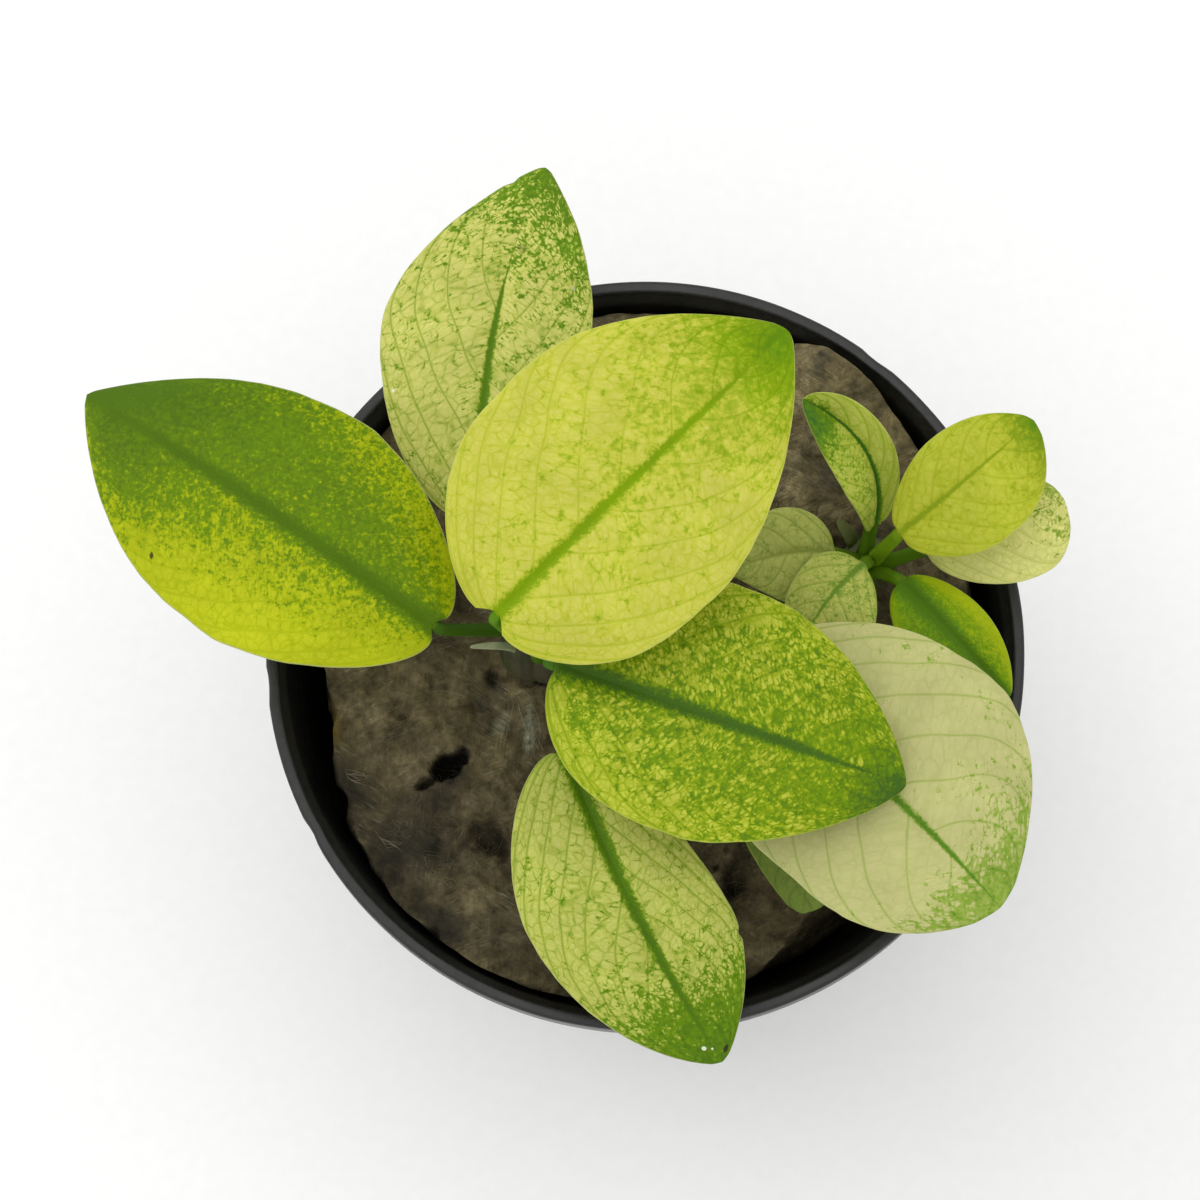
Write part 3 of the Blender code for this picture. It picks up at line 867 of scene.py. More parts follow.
    def stalk(self, count: int, upper_count: int) -> np.ndarray:
        """Rings of the stalk, up from its root and round the bend to just before the blade.

        Args:
            count: Points in a ring.
            upper_count: How many steps of the ring lie on its back, which runs on as the blade's upper face.

        Returns:
            The rings' points.
        """
        climb_steps, bend_steps = (26, 9) if self.fine else (14, 7)
        scale = self.stalk_scale
        tangent, _, normal = (axis[0] for axis in self.frames(np.zeros(1)))
        bend = self.BEND_RADIUS * scale
        end = np.array(self.base) - normal * (self.STALK_RADIUS * scale - self.THICKNESS / 2)
        root = np.array(self.root)
        climb = unit(end - root)
        turn = math.acos(float(climb @ tangent))
        rising = unit(climb - tangent * (climb @ tangent))
        angles = (turn * (1 - np.arange(bend_steps) / bend_steps))[:, None]
        arc = end - tangent * bend * np.sin(angles) - rising * bend * (1 - np.cos(angles))
        arc_directions = tangent * np.cos(angles) + rising * np.sin(angles)
        span = np.linalg.norm(arc[0] - root)
        course = (root, root + UP * span * 0.35, arc[0] - arc_directions[0] * span * 0.35, arc[0])
        shares = np.arange(climb_steps) / climb_steps
        centres = np.vstack((bezier(course, shares), arc))
        directions = np.vstack((bezier_directions(course, shares), arc_directions))
        shares = np.concatenate((shares, np.ones(bend_steps)))
        back = np.linspace(math.pi, 0, upper_count + 1)
        front = np.linspace(0, -math.pi, count - upper_count + 1)[1:-1]
        turns = np.concatenate((back, front))
        reference = self.axes()[1]
        rings = []
        for centre, direction, s in list(zip(centres, directions, shares))[::-1]:
            reference = unit(reference - direction * (direction @ reference))
            over = np.cross(reference, direction)
            swell = self.STALK_RADIUS * scale * (1 + self.STALK_SWELL * (1 - s) ** 2)
            ridges = swell * (1 + 0.03 * np.cos(turns * 5 + self.seed) + 0.02 * math.sin(s * 23 + self.seed))
            rings.append(ring_at(centre, (reference, over), turns, ridges))
        return np.array(rings[::-1])

    def build(self) -> None:
        """Builds the leaf as one closed mesh, dresses it and puts it on the plant."""
        top, under, share = self.across_places()
        t = np.concatenate((top, under))
        upper = np.arange(len(t)) < len(top)
        u = np.append(crowded(190 if self.fine else 92, 0.55)[:-1], self.LAST_RING)
        points, values = self.blade(u, t, upper)
        size = len(t)
        count, upper_count = size // share, (len(top) - 1) // share
        stalk = self.stalk(count, upper_count)
        stalk_points = stalk.reshape(-1, 3)
        length = np.linalg.norm(stalk_points - stalk_points[0], axis=-1)
        mesh = PieceMesh()
        plain = np.zeros(len(stalk_points))
        mesh.add(
            stalk_points,
            ring_faces(len(stalk), count),
            tone=np.array((0.8, 0.0, -3.0)),
            veins=np.stack((plain + 0.5, length, plain + 1), axis=-1),
            rim=np.array((2.0, 2.0, 0.0)),
        )
        mesh.join([tuple(range(count))])
        blade_values = {name: rows.reshape(-1, 3) for name, rows in values.items()}
        first = mesh.add(points, ring_faces(len(u), size), **blade_values)
        last_ring = first - count
        for i in range(count):
            fan = [first + k % size for k in range(share * (i + 1), share * i - 1, -1)]
            mesh.join([(last_ring + i, last_ring + (i + 1) % count, *fan)])
        tip_values = {name: rows[-1, 0] for name, rows in values.items()}
        mesh.cap(mesh.count - size, size, self.midrib(np.ones(1)), **tip_values)
        made = mesh.object(self.name + "_skin", self.skin.material(self.name), crease=70)
        place(made, self.slot, self.name)


# The skins of the single leaves, from their colours in daylight

SKIN_LEFT = LeafSkin(
    "#b6bd1c", "#98a604", "#648204", "#4b690c", "#b0b678", "#3c5c10",
    body_green=0.12, mottle=0.46, fleck=0.42, softness=0.22, cell=0.20, lacing=0.14, tip_mottle=0.14,
    tip_from=0.2, right_mottle=0.10, edge_mottle=-0.12, rib_width=0.66, rib_end=1.25, rib_tone=0.98,
    vein_tone=0.22, net_tone=0.26,
    patches=(
        Patch(1.05, 0.4, 0.26, 0.8, green=0.46, mottle=0.26),
        Patch(0.72, 0.75, 0.36, 0.65, green=0.24, mottle=0.10),
        Patch(0.30, 0.25, 0.35, 0.35, green=0.14, mottle=0.1),
        Patch(0.85, -0.5, 0.22, 0.5, green=0.2, mottle=0.2),
        Patch(0.35, -0.95, 0.40, 0.42, green=-0.14, mottle=-0.35),
    ),
    marks=(Mark(0.62, -0.82, 0.2, -1.0),),
)
SKIN_TOP = LeafSkin(
    "#cfcc77", "#b7bb58", "#648812", "#4f7214", "#b6bc6a", "#3f6a1c",
    mottle=0.15, fleck=0.54, softness=0.15, cell=0.21, tip_mottle=0.30, tip_from=0.45,
    right_mottle=0.12, edge_mottle=0.05, rib_width=0.36, rib_end=0.74, rib_tone=0.92, vein_tone=0.44,
    net_tone=0.42, patches=(Patch(1.0, 0.1, 0.10, 0.8, green=0.14, mottle=0.2),),
    marks=(
        Mark(0.36, -0.86, 0.10, 1.0), Mark(0.32, -0.90, 0.10, 0.9), Mark(0.67, 0.78, 0.11, 0.9),
        Mark(0.745, 0.10, 0.42, -0.3),
    ),
)
SKIN_CENTRE = LeafSkin(
    "#c5c358", "#b3b837", "#7d9a02", "#5c8204", "#c6cb66", "#557f14",
    body_green=0.02, mottle=0.27, fleck=0.36, softness=0.22, cell=0.28, lacing=0.08, tip_mottle=0.42,
    tip_from=0.5, edge_mottle=-0.08, rib_width=0.45, rib_end=0.92, rib_tone=0.74, vein_tone=0.40,
    net_tone=0.38,
    patches=(Patch(1.03, 0.1, 0.17, 1.0, green=0.62, mottle=0.2), Patch(0.66, 0.05, 0.34, 0.5, mottle=0.26)),
)
SKIN_MOTTLED = LeafSkin(
    "#bbc146", "#93a41a", "#668606", "#42641a", "#b2c04e", "#446e18",
    body_green=0.06, mottle=0.52, fleck=0.48, softness=0.16, cell=0.25, tip_mottle=0.16, tip_from=0.3,
    edge_mottle=-0.18, rib_width=0.62, rib_end=0.92, rib_tone=1.0, vein_tone=0.42, net_tone=0.42,
    patches=(
        Patch(1.02, 0.3, 0.13, 0.9, green=0.5, mottle=0.3),
        Patch(0.12, 0.8, 0.25, 0.4, mottle=-0.2),
        Patch(0.45, -0.55, 0.35, 0.4, mottle=-0.14),
    ),
)
SKIN_BOTTOM = LeafSkin(
    "#c1c46c", "#aab24c", "#64860a", "#4a6c10", "#b4bb70", "#446e18",
    mottle=0.17, fleck=0.48, softness=0.17, cell=0.22, tip_mottle=0.56, tip_from=0.5,
    rib_width=0.50, rib_end=1.0, rib_tone=0.96, vein_tone=0.44, net_tone=0.44,
    patches=(Patch(1.0, 0.0, 0.18, 1.2, green=0.25, mottle=0.1),),
    marks=(Mark(0.935, 0.25, 0.15, 1.0), Mark(0.95, 0.05, 0.08, 0.9), Mark(0.97, -0.5, 0.22, -0.8)),
)
SKIN_RIGHT = LeafSkin(
    "#c3c083", "#b2b471", "#86a03a", "#4c7a1c", "#bcbf7c", "#446e18",
    mottle=0.08, fleck=0.45, softness=0.12, cell=0.24, tip_mottle=0.40, tip_from=0.72,
    edge_mottle=0.08, rib_width=0.40, rib_end=1.0, rib_tone=0.95, vein_tone=0.42, net_tone=0.24,
    patches=(Patch(0.97, -0.1, 0.10, 0.9, green=0.1, mottle=0.3), Patch(0.78, -0.6, 0.18, 0.4, mottle=0.2)),
)
SKIN_UNDER = LeafSkin(
    "#8aa03c", "#788f38", "#6b7d36", "#4a6826", "#a0b84e", "#446e18",
    body_green=0.45, mottle=0.3, fleck=0.2, tip_mottle=0.0, rib_width=0.3, vein_tone=0.3, net_tone=0.2,
)
SKIN_FOLDED = LeafSkin(
    "#bfc25d", "#a4b33c", "#638814", "#3d6a24", "#b0bc60", "#4c6c10",
    body_green=0.05, mottle=0.36, fleck=0.40, softness=0.18, cell=0.22, tip_mottle=0.3, right_mottle=-0.32,
    rib_width=0.20, rib_end=1.05, vein_tone=0.4, net_tone=0.36,
    patches=(Patch(1.0, -0.6, 0.22, 0.7, green=0.4, mottle=0.3),),
)
SKIN_UPPER = LeafSkin(
    "#b7bb41", "#a6af28", "#7d9311", "#55820e", "#b8c058", "#688a10",
    body_green=0.05, mottle=0.32, fleck=0.30, softness=0.22, cell=0.25, lacing=0.08, tip_mottle=0.3,
    tip_from=0.6, rib_width=0.20, rib_tone=0.62, vein_tone=0.36, net_tone=0.34,
    patches=(Patch(1.02, 0.0, 0.14, 1.2, green=0.55, mottle=0.2),),
)
SKIN_OUTER = LeafSkin(
    "#dedc88", "#c7c96e", "#869e34", "#507a20", "#c6cc84", "#507210",
    body_green=0.02, mottle=0.14, fleck=0.50, softness=0.14, cell=0.22, tip_mottle=0.3, tip_from=0.6,
    rib_width=0.22, vein_tone=0.36, net_tone=0.32, patches=(Patch(0.85, -0.7, 0.25, 0.5, mottle=0.4),),
)
SKIN_DARK = LeafSkin(
    "#bcc314", "#97aa0c", "#698f08", "#4e7214", "#98b034", "#5a7c10",
    body_green=0.40, mottle=0.5, fleck=0.22, softness=0.2, cell=0.18, tip_mottle=0.1, edge_mottle=-0.5,
    rib_width=0.7, rib_end=1.2, rib_tone=1.0, vein_tone=0.1, net_tone=0.14,
    patches=(Patch(0.6, 0.5, 0.5, 0.5, green=0.2), Patch(0.4, -0.95, 0.6, 0.4, green=-0.2)),
)
SKIN_INNER = LeafSkin(
    "#c2c46a", "#abb352", "#749433", "#4a7424", "#b4be64", "#52740f",
    body_green=0.08, mottle=0.34, fleck=0.40, softness=0.16, cell=0.2, tip_mottle=0.1, rib_width=0.20,
    rib_end=0.8, rib_tone=0.75, vein_tone=0.42, net_tone=0.36,
)
SKIN_BACK = LeafSkin(
    "#b9bd66", "#a6ad56", "#81923e", "#5c7430", "#acb468", "#52700f",
    body_green=0.12, mottle=0.30, fleck=0.30, softness=0.16, cell=0.2, tip_mottle=0.1, rib_width=0.14,
    rib_tone=0.5, vein_tone=0.42, net_tone=0.36,
)

LEAVES = (
    Leaf("leaf_left", Slot.DARK_LEAF, (-8.3, 0.7, 50.25), (-13.4, -0.4, 61.0), 145.5, 27.5, -3.0, 8.8, 8.2,
         SKIN_LEFT, 0.40, 0.36, 1.5, 2.3, 2.1, 0.94, lobe=1.0, arch=2.2, fold=0.16, stalk_scale=0.78,
         seed=1.0, vein_count=7.0, vein_span=0.62),
    Leaf("leaf_top", Slot.PALE_LEAF, (-6.5, 1.7, 50.2), (-10.6, 7.0, 57.0), 80.5, 24.4, -2.0, 7.4, 6.5,
         SKIN_TOP, 0.49, 0.41, 1.6, 1.5, 2.5, 0.93, lobe=0.2, bow=-1.3, arch=1.6, fold=0.16, cup=0.20,
         seed=2.0, vein_count=4.6, vein_span=0.82, notches=(Notch(0.93, Side.LEFT, 0.2, 0.012),)),
    Leaf("leaf_centre", Slot.YELLOW_LEAF, (-7.0, -0.7, 50.35), (-9.15, -0.65, 67.0), 44.5, 25.3, 1.0, 10.0,
         8.8, SKIN_CENTRE, 0.44, 0.41, 3.0, 2.0, 1.7, 0.84, lobe=1.3, bow=0.2, arch=2.0, fold=0.14, cup=0.20,
         stalk_scale=0.72, seed=3.0, vein_count=6.4, vein_span=0.72),
    Leaf("leaf_mottled", Slot.DARK_LEAF, (-5.0, -0.9, 50.3), (-5.5, -3.1, 62.5), -18.5, 23.2, -3.0, 8.7, 7.9,
         SKIN_MOTTLED, 0.44, 0.44, 2.9, 1.9, 1.5, 0.78, lobe=0.5, bow=0.3, arch=2.2, fold=0.16, seed=4.0,
         vein_count=7.2, vein_span=0.6, blunt=0.004),
    Leaf("leaf_bottom", Slot.PALE_LEAF, (-5.0, -3.0, 49.3), (-5.1, -7.8, 56.0), -63.0, 22.1, -3.0, 5.6, 6.9,
         SKIN_BOTTOM, 0.62, 0.41, 1.7, 1.8, 2.0, 0.80, lobe=0.8, bow=0.7, arch=1.8, fold=0.16, cup=0.20,
         seed=5.0, vein_count=6.0, vein_span=0.84, notches=(Notch(0.70, Side.LEFT, 0.18, 0.012),)),
    Leaf("leaf_right", Slot.PALE_LEAF, (-0.9, -1.0, 50.2), (6.0, -2.6, 56.0), -42.5, 22.6, 0.0, 10.1, 8.3,
         SKIN_RIGHT, 0.58, 0.43, 2.1, 1.6, 3.4, 0.79, lobe=0.4, bow=-0.5, arch=1.6, fold=0.12, cup=0.18,
         seed=6.0, vein_count=6.0, vein_span=0.6, blunt=0.012),
    Leaf("leaf_under", Slot.OLIVE_LEAF, (3.4, -0.4, 50.05), (9.7, -8.1, 51.5), -87.0, 9.5, -1.9, 4.1, 4.1,
         SKIN_UNDER, tip_fullness_left=1.6, tip_fullness_right=1.5, bow=-0.5, fine=False, waves=0.1, seed=7.0,
         vein_count=4.0, blunt=0.03),
    Leaf("shoot_leaf_folded", Slot.PALE_LEAF, (14.5, 6.2, 49.6), (15.0, 7.8, 52.4), 126.5, 8.3, 7.6, 3.5, 2.1,
         SKIN_FOLDED, 0.45, 0.62, 1.5, 2.9, 3.4, 0.82, lobe=1.1, bow=1.7, fold=0.70, cup=0.20,
         stalk_scale=0.85, fine=False, waves=0.08, seed=8.0, blunt=0.015, vein_count=5),
    Leaf("shoot_leaf_upper", Slot.YELLOW_LEAF, (15.1, 5.7, 49.6), (16.4, 6.2, 57.4), 39.0, 10.9, 2.6, 3.5,
         4.6, SKIN_UPPER, 0.46, 0.44, 1.6, 2.4, 2.9, 0.83, lobe=0.5, bow=0.2, arch=1.0, fold=0.14, cup=0.20,
         stalk_scale=0.85, fine=False, waves=0.1, seed=9.0, blunt=0.015, vein_count=5),
    Leaf("shoot_leaf_outer", Slot.PALE_LEAF, (15.4, 5.4, 49.5), (18.3, 6.0, 52.8), 18.5, 9.5, 1.2, 4.1, 4.1,
         SKIN_OUTER, 0.42, 0.59, 1.5, 2.0, 2.9, 0.70, lobe=0.1, bow=0.2, fold=0.14, cup=0.20,
         stalk_scale=0.85, fine=False, waves=0.1, seed=10.0, blunt=0.02, vein_count=5),
    Leaf("shoot_leaf_dark", Slot.DARK_LEAF, (15.0, 5.1, 49.5), (16.7, 3.9, 52.5), -46.5, 10.3, -1.0, 2.7, 3.2,
         SKIN_DARK, 0.45, 0.44, 1.8, 2.2, 2.2, 0.82, lobe=0.2, bow=0.1, fold=0.20, cup=0.20,
         stalk_scale=0.85, fine=False, waves=0.08, seed=11.0, blunt=0.008, vein_count=5),
    Leaf("shoot_leaf_inner", Slot.PALE_LEAF, (14.5, 5.5, 49.6), (14.2, 4.9, 53.0), -127.0, 6.9, -0.5, 3.7,
         2.7, SKIN_INNER, 0.55, 0.34, 1.9, 2.0, 2.7, 0.77, lobe=0.0, bow=0.4, arch=0.6, fold=0.20, cup=0.20,
         stalk_scale=0.85, fine=False, waves=0.08, seed=12.0, blunt=0.015, vein_count=4.5),
    Leaf("shoot_leaf_back", Slot.OLIVE_LEAF, (14.1, 5.7, 49.5), (12.4, 6.1, 51.0), -170.5, 7.0, -1.2, 3.4,
         3.2, SKIN_BACK, 0.42, 0.45, 2.1, 1.6, 1.7, 1.0, lobe=0.0, bow=0.4, arch=0.6, fold=0.20, cup=0.20,
         stalk_scale=0.8, fine=False, waves=0.08, seed=13.0, blunt=0.015, vein_count=4.5),
)


# Pot


@dataclass(frozen=True)
class MouldedPolypropylene:
    """Black injection-moulded polypropylene: soft satin with a faint grey bloom and a fine mould grain, with
    painted shade on the wall inside the pot.
    """

    black: str = "#151614"
    bloom: str = "#242522"
    ior: float = 1.49
    roughness: float = 0.42
    haze: float = 6.25  # size of the bloom's clouds, mm
    grain: float = 0.12  # size of the mould's grain, mm
    painted_shading: str = "#050505"  # painted shade on the wall inside the pot, below the mouth

    def material(
        self, base_radius: float, floor: float, mouth_radius: float, mouth: float
    ) -> bpy.types.Material:
        """Makes the material, with painted shade that darkens the wall inside the pot.

        Args:
            base_radius: Inside radius at the floor, mm.
            floor: Height of the floor, mm.
            mouth_radius: Inside radius at the mouth, mm.
            mouth: Height of the mouth, mm.

        Returns:
            The material.
        """
        material, tree, shader = new_material("moulded_black_polypropylene")
        surface = add_node(tree, "TexCoord", None, "Object")
        haze, dust, tooth = (
            add_node(tree, "TexNoise", {"Vector": surface, "Scale": 1 / (size * MM), "Detail": detail})
            for size, detail in ((self.haze, 4.0), (self.grain * 4, 3.0), (self.grain, 2.0))
        )
        bloomed = add_node(tree, "MapRange", {0: haze * dust, 1: 0.16, 2: 0.42})
        x, y, z = add_node(tree, "SeparateXYZ", {0: surface}).parts()
        low, high = (base_radius + 0.3) * MM, (mouth_radius + 0.3) * MM
        wall = add_node(tree, "MapRange", {0: z, 1: floor * MM, 2: mouth * MM, 3: low, 4: high})
        within = (x * x + y * y).step("SQRT").step("LESS_THAN", wall)
        # Painted shade: the wall inside the pot is darkened from the mouth down
        painted_shading_level = within * add_node(tree, "MapRange", {0: z, 1: mouth * MM, 2: (mouth - 0.5) * MM, 4: 0.9})
        colour = lay_over(tree, linear(self.black), ((bloomed, self.bloom), (painted_shading_level, self.painted_shading)))
        limits = {0: haze, 1: 0.3, 2: 0.7, 3: self.roughness - 0.08, 4: self.roughness + 0.14}
        gloss = add_node(tree, "MapRange", limits)
        bump = add_node(tree, "Bump", {"Height": tooth, "Strength": 0.35, "Distance": 0.03 * MM})
        set_inputs(shader, {"Base Color": colour, "Roughness": gloss, "Normal": bump, "IOR": self.ior})
        return material


@dataclass(frozen=True)
class NetPot:
    """The pot: a turned wall, floor and two-step lip, with slots through wall and floor."""

    finish: MouldedPolypropylene = MouldedPolypropylene()
    height: float = 48.0
    rim_radius: float = 25.15
    lip_height: float = 2.8
    lip_band: float = 0.75
    lip_step: float = 0.45
    lip_slope: float = 0.8  # how far the inner band falls to the mouth
    mouth_radius: float = 23.9
    wall: float = 0.9
    base_radius: float = 16.6
    floor: float = 1.2
    foot_radius: float = 17.0
    slot_columns: int = 12
    slot_width: float = 3.2
    slot_rows: tuple[tuple[float, float], ...] = ((4.0, 14.5), (18.0, 28.5))
    floor_slots: int = 8
    floor_slot_width: float = 2.4
    floor_slot_reach: tuple[float, float] = (7.5, 14.5)
    cut_depth: float = 9.0  # more than the wall's and the floor's
    segments: int = 240
    bead: tuple[float, float, float, float] = (43.6, 43.2, 42.6, 42.2)  # heights of the raised line inside
    bead_height: float = 0.16
    centre_radius: float = 2.0  # of the first and last ring, round the middle of the floor
    nicks: tuple[tuple[float, float, float], ...] = ((185, 2.2, 0.16), (209, 1.8, 0.14), (52, 2.0, 0.12))

    def mouth(self) -> float:
        """Height of the mouth, below the lip's sloped inner band."""
        return self.height - self.lip_step - self.lip_slope

    def inner_radius(self, z: float) -> float:
        """Inside radius at height z."""
        share = (z - self.floor) / (self.mouth() - self.floor)
        return self.base_radius + (self.mouth_radius - self.base_radius) * share

    def profile(self) -> list[tuple[float, float]]:
        """The half section's corners, rounded, from the underside's edge over the lip to the floor inside."""
        under = self.height - self.lip_height
        band = self.rim_radius - self.lip_band
        step = self.height - self.lip_step
        corners = (
            (self.foot_radius, 0.0, 0.5),
            (self.inner_radius(under) + self.wall, under, 0.25),
            (self.rim_radius, under, 0.25),
            (self.rim_radius, self.height, 0.28),
            (band, self.height, 0.16),
            (band - 0.1, step, 0.12),
            (self.mouth_radius, self.mouth(), 0.3),
            (self.inner_radius(self.bead[0]), self.bead[0], 0.2),
            (self.inner_radius(self.bead[1]) - self.bead_height, self.bead[1], 0.12),
            (self.inner_radius(self.bead[2]) - self.bead_height, self.bead[2], 0.12),
            (self.inner_radius(self.bead[3]), self.bead[3], 0.2),
            (self.base_radius, self.floor, 0.6),
        )
        points = [(self.centre_radius, 0.0)]
        ends = [points[0], *((r, z) for r, z, _ in corners), (self.centre_radius, self.floor)]
        for before, (r, z, round_off), after in zip(ends, corners, ends[2:]):
            here = np.array((r, z))
            start = here + unit(np.array(before) - here) * round_off
            finish = here + unit(np.array(after) - here) * round_off
            for s in (0, 0.25, 0.5, 0.75, 1):
                points.append(tuple(start * (1 - s) ** 2 + here * 2 * s * (1 - s) + finish * s * s))
        return [*points, ends[-1]]

    def body(self, material: bpy.types.Material) -> bpy.types.Object:
        """The turned pot before its slots are cut.

        Args:
            material: Its finish.

        Returns:
            The pot.
        """
        turns = ring_angles(self.segments) + math.pi / self.segments  # clear of the slots' middles
        bearing = np.degrees(turns)
        wander = rough(np.stack((np.cos(turns), np.sin(turns)), axis=-1), 0.5, 3, 4.0) * 0.07
        for centre, spread, depth in self.nicks:
            wander = wander - depth * np.exp(-((turn_off(bearing, centre) / spread) ** 4))
        rings = []
        for r, z in self.profile():
            share = ease(np.array(z), 40.0, 46.0) * ease(np.array(r), self.mouth_radius, self.rim_radius)
            radius = r + np.minimum(wander, 0.0) * share
            rings.append(ring_at(UP * z, np.eye(3)[:2], turns, radius))
        mesh = PieceMesh()
        mesh.add(np.array(rings), ring_faces(len(rings), self.segments))
        for height, ring in ((0.0, 0), (self.floor, len(rings) - 1)):
            mesh.cap(ring * self.segments, self.segments, UP * height)
        return mesh.object("net_pot", material, crease=35)

    def slot_cutter(
        self, mesh: PieceMesh, centre: np.ndarray, along: np.ndarray, size: Sequence[float]
    ) -> None:
        """Adds a cutter with rounded ends.

        Args:
            mesh: The cutters' mesh.
            centre: Middle of the slot.
            along: Direction of its long way, up or out from the pot's axis.
            size: Its length, width and depth.
        """
        out = unit(centre * (1, 1, 0))
        across = np.cross(UP, out)
        through = UP if along is not UP else out
        length, width, depth = size
        angles = np.linspace(0, math.pi, 9)
        half = np.stack((np.sin(angles), np.cos(angles)), axis=-1) * width / 2 + ((length - width) / 2, 0)
        outline = np.vstack((half, -half))
        rings = [centre + outline @ np.stack((along, across)) + through * depth * end for end in (-0.5, 0.5)]
        count = len(outline)
        first = mesh.add(np.array(rings), ring_faces(2, count))
        mesh.join([tuple(range(first, first + count)), tuple(range(first + count, first + 2 * count))])

    def build(self) -> None:
        """Builds the pot with its slots cut, dresses it and puts it in place."""
        material = self.finish.material(self.base_radius, self.floor, self.mouth_radius, self.mouth())
        pot = self.body(material)
        cutters = PieceMesh()
        for column in range(self.slot_columns):
            bearing = 2 * math.pi * (column + 0.5) / self.slot_columns
            out = np.array((math.cos(bearing), math.sin(bearing), 0.0))
            for low, high in self.slot_rows:
                middle = (low + high) / 2
                centre = out * self.inner_radius(middle) + UP * middle
                self.slot_cutter(cutters, centre, UP, (high - low, self.slot_width, self.cut_depth))
        inner, outer = self.floor_slot_reach
        for k in range(self.floor_slots):
            bearing = 2 * math.pi * k / self.floor_slots
            out = np.array((math.cos(bearing), math.sin(bearing), 0.0))
            size = (outer - inner, self.floor_slot_width, self.cut_depth)
            self.slot_cutter(cutters, out * (inner + outer) / 2, out, size)
        cutter = cutters.object("slot_cutters", material)
        cut = pot.modifiers.new("slots", "BOOLEAN")
        cut.operation = "DIFFERENCE"
        cut.solver = "EXACT"
        cut.object = cutter
        graph = bpy.context.evaluated_depsgraph_get()
        finished = bpy.data.meshes.new_from_object(pot.evaluated_get(graph))
        pot.modifiers.clear()
        pot.data = finished
        bpy.data.objects.remove(cutter, do_unlink=True)
        place(pot, Slot.POT, "pot")


# Wool


@dataclass(frozen=True)
class StoneWool:
    """Growing block of spun stone wool, brown with binder and damp: dull, felted, from soil to slate.

    Its fibres lie in short strokes, and pale dry ones catch the light on the raised tufts. Painted shade
    darkens the hollows of its top and painted light brightens its crests; some patches are painted darker,
    others lighter where the leaves and the pot's wall cast shadow.
    """

    brown: str = "#564d36"
    dark: str = "#2e291b"
    dry: str = "#776c4f"
    slate: str = "#2f302c"
    wisp: str = "#989a80"
    frost: str = "#8d917c"
    rust: str = "#5c4c14"
    lump: float = 3.03  # sizes of its lumps, patches, ruffles and felt, mm
    patch: float = 3.57
    ruffle: float = 1.25
    felt: float = 0.385
    stroke: tuple[float, float, float] = (1.0, 0.15, 0.4)  # size of a felted streak, mm
    bearings: tuple[float, ...] = (22.0, 84.0, 148.0)  # of the streaks in its different patches, degrees

    def material(self) -> bpy.types.Material:
        """Makes the material, which reads its painted shading, the tufts' height for the painted shade in its
        hollows, and stains from the block's points.
        """
        material, tree, shader = new_material("spun_stone_wool")
        surface = add_node(tree, "TexCoord", None, "Object")
        felt = add_node(tree, "Attribute", None, "Vector", attribute_name="felt")
        painted_shading, height, stain = add_node(tree, "SeparateXYZ", {0: felt}).parts()

        def strokes(bearing: float) -> Field:
            """Short streaks of felted fibres that lie along one bearing."""
            size = tuple(part * MM for part in self.stroke)
            laid = {"Vector": surface, "Rotation": (0.0, 0.0, math.radians(bearing)), "Scale": size}
            along = add_node(tree, "Mapping", laid, vector_type="TEXTURE")
            settings = {"Vector": along, "Scale": 1.0, "Detail": 3.0, "Roughness": 0.62}
            return add_node(tree, "TexNoise", settings)

        lumps, patches, ruffle, felted = (
            add_node(tree, "TexNoise", {"Vector": surface, "Scale": 1 / (size * MM), "Detail": detail})
            for size, detail in ((self.lump, 4.0), (self.patch, 3.0), (self.ruffle, 4.0), (self.felt, 3.0))
        )
        streaks = strokes(self.bearings[0])
        for bearing, level in zip(self.bearings[1:], (0.47, 0.54)):
            share = add_node(tree, "MapRange", {0: patches, 1: level - 0.06, 2: level + 0.06}, **SMOOTH)
            streaks = add_node(tree, "Mix", {0: share, 2: streaks, 3: strokes(bearing)})
        shade = streaks * 0.75 + lumps * 1.3 + ruffle * 1.1 + felted * 0.7 - 1.45
        browns = ((0.0, self.dark), (0.5, self.brown), (1.0, self.dry))
        colour = set_ramp(add_node(tree, "ValToRGB", {0: shade}), browns)
        # Of these shares, the second lays slate on the patches painted darker, and the last is painted shade
        # in the hollows of the top with a little painted light on its crests
        cool, darker_slate, tufted, raised, limed, combed, rusty, painted_hollow_shade = (
            add_node(tree, "MapRange", {0: value, 1: low, 2: high, 3: start, 4: end}, **SMOOTH)
            for value, low, high, start, end in (
                (patches, 0.56, 0.70, 0.0, 0.4),
                (painted_shading, 0.1, 0.9, 0.0, 0.55),
                (streaks, 0.56, 0.70, 0.0, 1.0),
                (lumps, 0.48, 0.64, 0.0, 0.35),
                (stain, 0.1, 0.9, 0.0, 0.7),
                (streaks, 0.35, 0.6, 0.3, 1.0),
                (stain, -0.1, -0.9, 0.0, 0.8),
                (height, -1.7, 0.3, 0.08, 1.12),
            )
        )
        slaty = cool.step("MAXIMUM", darker_slate)
        frosty = limed * combed
        layers = ((slaty, self.slate), (tufted * raised, self.wisp), (frosty, self.frost), (rusty, self.rust))
        # Painted shading: patches painted up to twice as bright where shadows fall, others down to half as
        # bright
        painted_shading_level = add_node(tree, "MapRange", {0: painted_shading, 1: -1.0, 2: 1.0, 3: 2.0, 4: 0.5})
        tint = {"Value": painted_hollow_shade * painted_shading_level, "Color": lay_over(tree, colour, layers)}
        relief = streaks * 0.9 + felted * 0.6 + ruffle * 0.5
        bump = add_node(tree, "Bump", {"Height": relief, "Strength": 0.8, "Distance": 0.22 * MM})
        dressing = {"Base Color": add_node(tree, "HueSaturation", tint), "Normal": bump}
        set_inputs(shader, dressing | {"Roughness": 0.95, "Specular IOR Level": 0.2})
        return material


